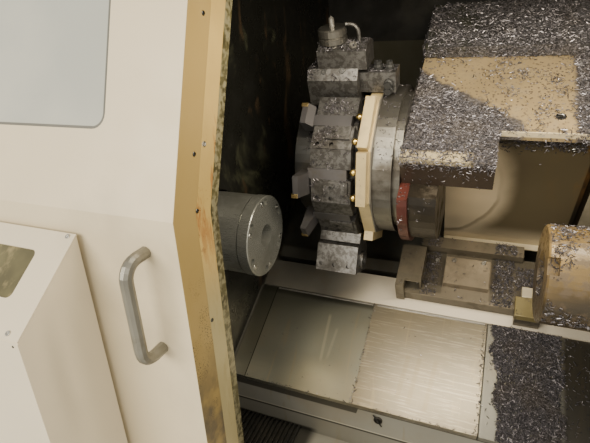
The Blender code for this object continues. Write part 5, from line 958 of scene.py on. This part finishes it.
lid_screws = Form()
for place in LID_SCREWS:
    lid_screws.cap_screw(Vector(place) - LID_NORMAL * SUNK, LID_NORMAL, 0.0048, 0.0022)
lid_screws.build("gauge_plate_screws", "machine", BRIGHT)
hole_plug = Form()
hole_plug.lathe([(0.0022, 0.0), (0.0022, 0.0006)], GAUGE_PLUG, (0.0, -1.0, 0.0), 10)
hole_plug.build("gauge_hole_plug", "machine", RUBBER)

# %% [markdown]
# The slide cover has a screw in the face under its lip and a ring on top, and a pale strip closes its
# right side. The tailstock's base has three cap screws, and a nut block and the face of its clamp are a
# slab each.

# %% Cover and tailstock fittings
TAIL_SCREWS = ((-0.0238, 0.1846, -0.290), (0.0203, 0.1789, -0.272), (0.0949, 0.1820, -0.272))

cover_screws = Form()
cover_screws.cap_screw((0.2416, -0.0648, 1.2330), -UP_SLOPE, 0.0060, 0.0035)
cover_screws.lathe([(0.0105, 0.0), (0.0105, 0.0012), (0.0085, 0.0012), (0.0085, 0.0004)],
                   (0.2000, -0.1100, 1.3106), OFF_SLOPE, 18)
cover_screws.build("slide_cover_screws", "cross_slide_body", BRIGHT)
side_strip = Form()
side_strip.slab((0.303, 0.2925, -0.314), (0.399, 0.2951, 0.120))
side_strip.build("slide_side_strip", "cross_slide_body", PALE_SHEET)

tail_screws = Form()
for x, u, v in TAIL_SCREWS:
    tail_screws.cap_screw(slope(x, u, v - SUNK), OFF_SLOPE, 0.0058, 0.0050)
tail_screws.build("tailstock_screws", "tailstock", STEEL)
tail_nut = Form()
tail_nut.slab((0.190, 0.098, -0.290), (0.217, 0.128, -0.270))
tail_nut.build("tailstock_nut", "tailstock", PALE_SHEET, 0.0015)
clamp_face = Form()
clamp_face.slab((0.176, 0.043, -0.290), (0.238, 0.097, -0.2685))
clamp_face.build("tailstock_clamp_face", "tailstock", OLIVE, 0.0015)

# %% [markdown]
# A folded strip ends each way cover at the top. The drain clip in the trough is a washer with a pin across
# it, and the chip conveyor shows as dark ribs at the left end of the trough, in even steps.

# %% Cover strips, drain clip and conveyor ribs
STRIP_V = -0.332
CLIP = Vector((-0.1103, -0.3118, 0.5779))
CLIP_PIN = Vector((0.011, 0.0, -0.016))
RIB_COUNT = 14
RIB_LEFT_X = -0.50
RIB_STEP = 0.013
RIB_DEPTHS = (-0.486, -0.3125)
RIB_HEIGHTS = (0.4735, 0.4835)

strips = Form()
strips.slab((-0.166, 0.0305, STRIP_V), (0.114, 0.0362, -0.3262))
strips.slab((-0.470, 0.0318, STRIP_V), (-0.178, 0.0362, -0.3300))
strips.build("cover_edge_strips", "machine", STEEL, 0.0006)
clip = Form()
clip.lathe([(0.011, 0.0), (0.011, 0.003), (0.008, 0.004), (0.0075, 0.001)], CLIP, (0.0, -1.0, 0.0), 18)
pin_middle = CLIP + Vector((-0.001, -0.004, 0.0))
clip.bar(pin_middle - CLIP_PIN, pin_middle + CLIP_PIN, 0.0016)
clip.build("drain_clip", "machine", DARK_STEEL)
ribs = Form()
for count in range(RIB_COUNT):
    left = RIB_LEFT_X + RIB_STEP * count
    sides = (left, left + 0.5 * RIB_STEP)
    ribs.hexahedron([(x, y, z) for x in sides for y in RIB_DEPTHS for z in RIB_HEIGHTS])
ribs.build("conveyor_ribs", "machine", DARK_STEEL, 0.001)

# %% [markdown]
# Swarf is the machine's most striking dirt: a thick grey-violet felt on the covers and on the plate below
# the tailstock. Most chips are dull and a few catch the light, so every chip carries a tone of its own,
# which the finish reads back as an attribute.

# %% Swarf finish
swarf = Paint("swarf", (0.055, 0.052, 0.056), 0.40, 0.45)
shade = swarf.attribute("tone")
swarf.layer((0.150, 0.138, 0.148), swarf.band(shade, 0.30, 0.80))
swarf.layer((0.52, 0.49, 0.51), swarf.band(shade, 0.90, 0.98))
swarf.layer((0.13, 0.10, 0.06), swarf.patches(11.0, 0.50, 0.66), 0.22)
swarf.rough(swarf.band(shade, 0.2, 0.9, 0.55, 0.34))
swarf.bump(swarf.noise(900.0, 2.0), 0.2, 0.0002)
SWARF = swarf.done()
print("swarf finish ready")

# %% [markdown]
# The chips could be instances of one chip on a particle system, but each piece has to be a plain mesh in
# the end. So points are strewn over the faces of a CAD node that look a given way, and a density rule in
# slope terms keeps or drops each point. That way the felt ends where it ends in the photograph. Each chip
# is a short needle with a triangular section, and all the chips on one node are one mesh, made with numpy.

# %% Swarf tools
SHORTEST, LONGEST = 0.0015, 0.012
THINNEST, THICKEST = 0.00045, 0.0010
LEAST_LIFT = 0.0006
NEEDLE_POINTS = 6
NEEDLE_SIDES = ((1, 0, 3, 4), (2, 1, 4, 5), (0, 2, 5, 3))
NEEDLE_ENDS = ((0, 1, 2), (5, 4, 3))


def surface_points(name, count, rng, facings):
    """Random points on those faces of a node whose normal is close to one of the facings."""
    mesh = NODES[name].data
    mesh.calc_loop_triangles()
    flat = np.empty(len(mesh.vertices) * 3)
    mesh.vertices.foreach_get("co", flat)
    index = np.empty(len(mesh.loop_triangles) * 3, dtype=np.int32)
    mesh.loop_triangles.foreach_get("vertices", index)
    corners = flat.reshape(-1, 3)[index.reshape(-1, 3)]
    first, edge_a, edge_b = corners[:, 0], corners[:, 1] - corners[:, 0], corners[:, 2] - corners[:, 0]
    normal = np.cross(edge_a, edge_b)
    area = np.linalg.norm(normal, axis=1) + 1e-12
    normal /= area[:, None]
    looks = np.max([normal @ np.array(facing) for facing in facings], axis=0)
    weight = np.where(looks > 0.8, area, 0.0)
    pick = rng.choice(len(weight), count, p=weight / weight.sum())
    share = rng.random((count, 2))
    over = share.sum(axis=1) > 1.0
    share[over] = 1.0 - share[over]
    return first[pick] + edge_a[pick] * share[:, :1] + edge_b[pick] * share[:, 1:], normal[pick]


def slope_terms(points):
    offset = points - np.array(SPINDLE)
    return points[:, 0], offset @ np.array(UP_SLOPE), offset @ np.array(OFF_SLOPE)


def unit(vectors):
    return vectors / np.linalg.norm(vectors, axis=1)[:, None]


def strew(name, node, body, count, density, facings, depth, long=0.0048, *, seed):
    """Chips of about a given length on a node, in a layer of a given depth."""
    rng = np.random.default_rng(seed)
    points, normals = surface_points(node, count, rng, facings)
    keep = rng.random(count) < density(*slope_terms(points), points)
    points, normals = points[keep], normals[keep]
    count = len(points)
    along = unit(np.cross(normals, rng.normal(size=(count, 3))))
    along = unit(along + normals * rng.normal(0.0, 0.30, count)[:, None])
    across = unit(np.cross(normals, along))
    length = rng.gamma(5.0, long / 5.0, count)[:, None].clip(SHORTEST, LONGEST)
    width = rng.uniform(THINNEST, THICKEST, count)[:, None]
    lift = (rng.random(count) ** 1.6 * depth + LEAST_LIFT)[:, None]
    ends = [points - along * length / 2 + normals * lift, points + along * length / 2 + normals * lift]
    corners = (across * width, -across * width, normals * width * 1.2)
    verts = np.stack([end + corner for end in ends for corner in corners], axis=1)
    start = np.arange(count)[:, None] * NEEDLE_POINTS
    faces = np.concatenate([start + np.array(side) for side in NEEDLE_SIDES]).tolist()
    faces += np.concatenate([start + np.array(end) for end in NEEDLE_ENDS]).tolist()
    mesh = bpy.data.meshes.new(name)
    mesh.from_pydata(verts.reshape(-1, 3).tolist(), [], faces)
    tone = mesh.attributes.new("tone", "FLOAT", "POINT")
    tone.data.foreach_set("value", np.repeat(rng.random(count), NEEDLE_POINTS).astype(np.float32))
    mesh.materials.append(SWARF)
    obj = bpy.data.objects.new(name, mesh)
    bpy.context.scene.collection.objects.link(obj)
    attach(obj, body)
    print(name, count, "chips on", body)
    return obj


# %% [markdown]
# A density rule gets the places of all the points at once and returns how likely each is to hold a chip.
# Two helpers do most of it: a soft window between two values, and a slow random drift, which breaks up
# straight borders.


# %% Helpers of the density rules
def inside(value, low, high, soft):
    """1 between two values, with soft ends."""
    return np.clip((value - low) / soft, 0.0, 1.0) * np.clip((high - value) / soft, 0.0, 1.0)


def drift(points, scale, seed):
    """Slow random variation over the surface, about -1 to 1."""
    rng = np.random.default_rng(seed)
    value = np.zeros(len(points))
    for _ in range(8):
        value += np.sin(points @ (rng.normal(size=3) * scale) + rng.random() * 2.0 * math.pi)
    return value / 2.8


UP = (0.0, 0.0, 1.0)
FRONT = (0.0, -1.0, 0.0)
LEFT = (-1.0, 0.0, 0.0)
FRONT_UP = (0.0, -0.7, 0.7)
OFF_FACING = (0.0, -0.5, 0.866)
DOWN_FACING = (0.0, -0.866, -0.5)
COVER_FACINGS = (OFF_FACING, DOWN_FACING, LEFT)

# %% [markdown]
# The upper cover is felted all over but for a bare place near its lip. On the slide cover the pile ends in
# a slanting ragged line, the right edge is heaped, and the pale sheet between has a few clusters. The
# slide's front has chips only high up, where they slide off the lip.


# %% Swarf on the covers of the slide
def upper_rule(x, u, v, points):
    bare = inside(x, -0.06, 0.06, 0.03) * inside(u, 0.49, 0.522, 0.012) * 0.75
    left = inside(x, -0.11, 0.03, 0.04) * np.clip(drift(points, 22.0, 5) * 0.7, 0.0, 0.55)
    shown = np.where(u > 0.62, 0.55, 0.95)
    return (1.0 - bare - left).clip(0.12, 1.0) * shown


COVER_V = 0.1425
PILE_EDGE_X = (-0.102, -0.063, 0.016, 0.105, 0.135)
PILE_EDGE_U = (0.450, 0.389, 0.341, 0.292, 0.235)


def cover_rule(x, u, v, points):
    edge = np.interp(x, PILE_EDGE_X, PILE_EDGE_U)
    edge += drift(points, 70.0, 7) * 0.013
    pile = np.clip((edge + 0.012 - u) / 0.030, 0.0, 1.0)
    by_lip = inside(x, -0.094, 0.050, 0.02) * inside(u, 0.140, 0.176, 0.010)
    pale = by_lip * (0.55 + 0.45 * drift(points, 60.0, 8))
    right = np.clip((x - 0.222 - drift(points, 40.0, 9) * 0.010) / 0.012, 0.0, 1.0)
    clusters = np.clip(drift(points, 45.0, 10) + 0.2, 0.0, 1.0) * 0.40
    patch = inside(x, 0.05, 0.17, 0.04) * inside(u, 0.36, 0.49, 0.04) * clusters
    sparse = 0.022 + 0.20 * np.clip(drift(points, 60.0, 11) - 0.15, 0.0, 1.0)
    top = np.maximum.reduce([pile * (1.0 - 0.85 * np.clip(pale, 0.0, 1.0)), right, patch, sparse])
    left_lip, right_lip = np.clip((v - 0.112) / 0.04, 0.03, 0.55), np.clip((x - 0.20) / 0.1, 0.03, 0.4)
    return np.where(v > COVER_V - 0.001, top, np.where(x < 0.089, left_lip, right_lip))


def front_rule(x, u, v, points):
    high = np.clip((v - 0.030) / 0.04, 0.0, 1.0) ** 2 * inside(x, 0.085, 0.27, 0.01)
    stray = 0.004 * inside(x, 0.085, 0.26, 0.02) * np.clip((v + 0.05) * 12, 0, 1)
    return high * (0.75 + 0.3 * drift(points, 50.0, 12)) + stray


strew("upper_cover_swarf", "upper_cover", "carriage", 28000, upper_rule, COVER_FACINGS, 0.005, seed=21)
strew("slide_cover_swarf", "slide_cover", "cross_slide_body", 36000, cover_rule, COVER_FACINGS, 0.005,
      seed=22)
strew("slide_front_swarf", "slide_front_plate", "cross_slide_body", 26000, front_rule, (DOWN_FACING,), 0.002,
      0.005, seed=23)

# %% [markdown]
# The plate under the tailstock is buried up to a slanting ragged edge. The way covers are wiped clean, and
# hold chips only along their seams.


# %% Swarf on the chip plate and the way covers
def plate_rule(x, u, v, points):
    ragged = drift(points, 60.0, 13) * 0.006
    left = np.interp(u, [-0.245, -0.110, 0.044], [0.155, 0.146, 0.126]) + ragged
    pile = np.clip((x - left) / 0.006, 0.0, 1.0) * np.clip((0.293 + ragged - x) / 0.010, 0.0, 1.0)
    return np.maximum(pile, np.where(x > 0.28, 0.03, 0.004))


def seam_rule(x, u, v, points):
    edge = np.exp(-((x + 0.175) / 0.004) ** 2) * 0.35 + np.exp(-((x - 0.116) / 0.004) ** 2) * 0.5
    return edge + 0.9 * np.exp(-((u + 0.243) / 0.003) ** 2) * 0.25 + 0.0015


strew("chip_plate_swarf", "chip_plate", "machine", 80000, plate_rule, (OFF_FACING,), 0.008, seed=24)
strew("left_cover_swarf", "way_cover_left", "machine", 9000, seam_rule, (OFF_FACING,), 0.001, 0.004, seed=25)
strew("right_cover_swarf", "way_cover_right", "machine", 9000, seam_rule, (OFF_FACING,), 0.001, 0.004,
      seed=26)

# %% [markdown]
# Chips also stick to the oil on the tailstock, thickest in the pockets beside its clamp plate and at the
# barrel's near end. The turret throws most of them off, so a thin random scatter is enough there.


# %% Swarf on the tailstock and the turret
def barrel_rule(x, u, v, points):
    near_end = np.clip((0.235 - x) / 0.03, 0.0, 1.0)
    return np.clip(0.35 * (0.2 + drift(points, 45.0, 31)) + 0.35 * near_end, 0.0, 1.0)


def base_rule(x, u, v, points):
    left = inside(x, -0.058, -0.012, 0.008)
    right = inside(x, 0.118, 0.175, 0.008)
    heap = inside(x, 0.165, 0.235, 0.02) * inside(u, 0.12, 0.20, 0.02)
    return np.maximum.reduce([left * 0.45, right * 0.75, heap, np.full(len(x), 0.008)])


def scatter(share, scale, seed):
    """A rule for a thin random scatter."""
    def rule(x, u, v, points):
        return np.clip(share * (0.5 + drift(points, scale, seed)), 0.0, 1.0)
    return rule


HOLDER_FACINGS = (UP, (0.0, -0.6, 0.8))
DRUM_FACINGS = (UP, FRONT_UP, (0.0, -0.4, 0.9))

strew("tailstock_body_swarf", "tailstock_body", "tailstock", 22000, barrel_rule, (UP, FRONT, FRONT_UP), 0.002,
      0.005, seed=41)
strew("tailstock_base_swarf", "tailstock_base", "tailstock", 16000, base_rule, (OFF_FACING,), 0.007, seed=42)
strew("driven_holder_swarf", "driven_holder", "turret", 1500, scatter(0.5, 60.0, 32), HOLDER_FACINGS, 0.002,
      0.004, seed=43)
strew("tool_disc_swarf", "tool_disc", "turret", 2200, scatter(0.4, 60.0, 33), HOLDER_FACINGS, 0.002,
      0.004, seed=44)
strew("top_holder_swarf", "turning_holder_3", "turret", 1400, scatter(0.7, 80.0, 34), (UP, (0.0, -0.8, 0.6)),
      0.002, 0.004, seed=45)
strew("low_holder_swarf", "turning_holder_2", "turret", 700, scatter(0.6, 80.0, 35), (UP, FRONT), 0.0015,
      0.004, seed=46)
strew("housing_swarf", "turret_housing", "cross_slide_body", 1400, scatter(0.35, 50.0, 36),
      (FRONT, DOWN_FACING, LEFT), 0.0015, 0.004, seed=47)
strew("ring_swarf", "turret_ring", "cross_slide_body", 420, scatter(0.35, 60.0, 37), (UP, FRONT, FRONT_UP),
      0.0015, 0.004, seed=48)
strew("drum_swarf", "turret_drum", "turret", 700, scatter(0.25, 60.0, 38), DRUM_FACINGS, 0.0015,
      0.004, seed=49)

# %% [markdown]
# The room is a plain pale floor under a warm, even sky. The floor is one large square, since nothing of
# it shows but its colour and the machine's shadow. The sky fills the shadows, as white walls would.

# %% Floor and world
bm = bmesh.new()
bmesh.ops.create_grid(bm, x_segments=1, y_segments=1, size=9.0)
floor_mesh = bpy.data.meshes.new("floor")
bm.to_mesh(floor_mesh)
bm.free()
floor = bpy.data.objects.new("floor", floor_mesh)
bpy.context.scene.collection.objects.link(floor)
floor_paint = Paint("floor_paint", (0.62, 0.62, 0.60), 0.7)
floor_paint.tone(1.2, 0.04)
floor.data.materials.append(floor_paint.done())

world = bpy.data.worlds.new("soft_room")
world.use_nodes = True
background = world.node_tree.nodes["Background"]
background.inputs["Color"].default_value = (1.0, 0.94, 0.84, 1.0)
background.inputs["Strength"].default_value = 0.72
bpy.context.scene.world = world
print("floor", tuple(round(side, 1) for side in floor.dimensions))

# %% [markdown]
# Two large lamps light the machine from the front, one from each side. A small one stands in for the work
# lamp inside the chamber, because the photograph's warm light on the covers comes from the front and
# above. Area lights give the soft shadow edges of lamps behind a diffuser, which spot lights wouldn't.


# %% Lights
def area_light(name, place, target, size, power, color):
    data = bpy.data.lights.new(name, "AREA")
    data.shape = "RECTANGLE"
    data.size, data.size_y = size
    data.energy = power
    data.color = color
    lamp = bpy.data.objects.new(name, data)
    bpy.context.scene.collection.objects.link(lamp)
    lamp.location = place
    lamp.rotation_euler = (Vector(target) - Vector(place)).to_track_quat("-Z", "Y").to_euler()
    print(name, power, "W")


area_light("room_key", (-1.5, -3.3, 2.3), (-0.4, -0.4, 1.0), (2.4, 1.6), 135.0, (1.0, 0.93, 0.80))
area_light("room_fill", (2.4, -2.6, 2.4), (0.0, -0.2, 1.0), (2.0, 2.0), 42.0, (1.0, 0.93, 0.82))
area_light("work_lamp", (0.16, -0.44, 1.60), (0.06, -0.12, 0.95), (0.8, 0.12), 8.5, (1.0, 0.88, 0.68))

# %% [markdown]
# The camera stands where the photograph was taken: in front of the doorway, looking down into the
# chamber, and rolled a little. Its place and its turn were found by matching edges of the door, the covers
# and the chuck to the photograph, which is why they're plain numbers here.

# %% Camera at the photograph's view
SENSOR = 36.0
FOCAL_PIXELS = 460.0
PHOTO_PIXELS = 590.0

camera_data = bpy.data.cameras.new("photo_camera")
camera_data.sensor_width = SENSOR
camera_data.lens = SENSOR * FOCAL_PIXELS / PHOTO_PIXELS
camera_data.clip_start = 0.02
camera = bpy.data.objects.new("photo_camera", camera_data)
bpy.context.scene.collection.objects.link(camera)
CAMERA_PLACE = Vector((0.0635, -1.19, 1.5))
right = Vector((0.925, 0.379, -0.042)).normalized()
forward = Vector((-0.364, 0.847, -0.387)).normalized()
up = right.cross(forward).normalized()
right = forward.cross(up).normalized()
turn = Matrix((right, up, -forward)).transposed().to_4x4()
camera.matrix_world = Matrix.Translation(CAMERA_PLACE) @ turn
bpy.context.scene.camera = camera
print("lens", round(camera_data.lens, 2), "mm")
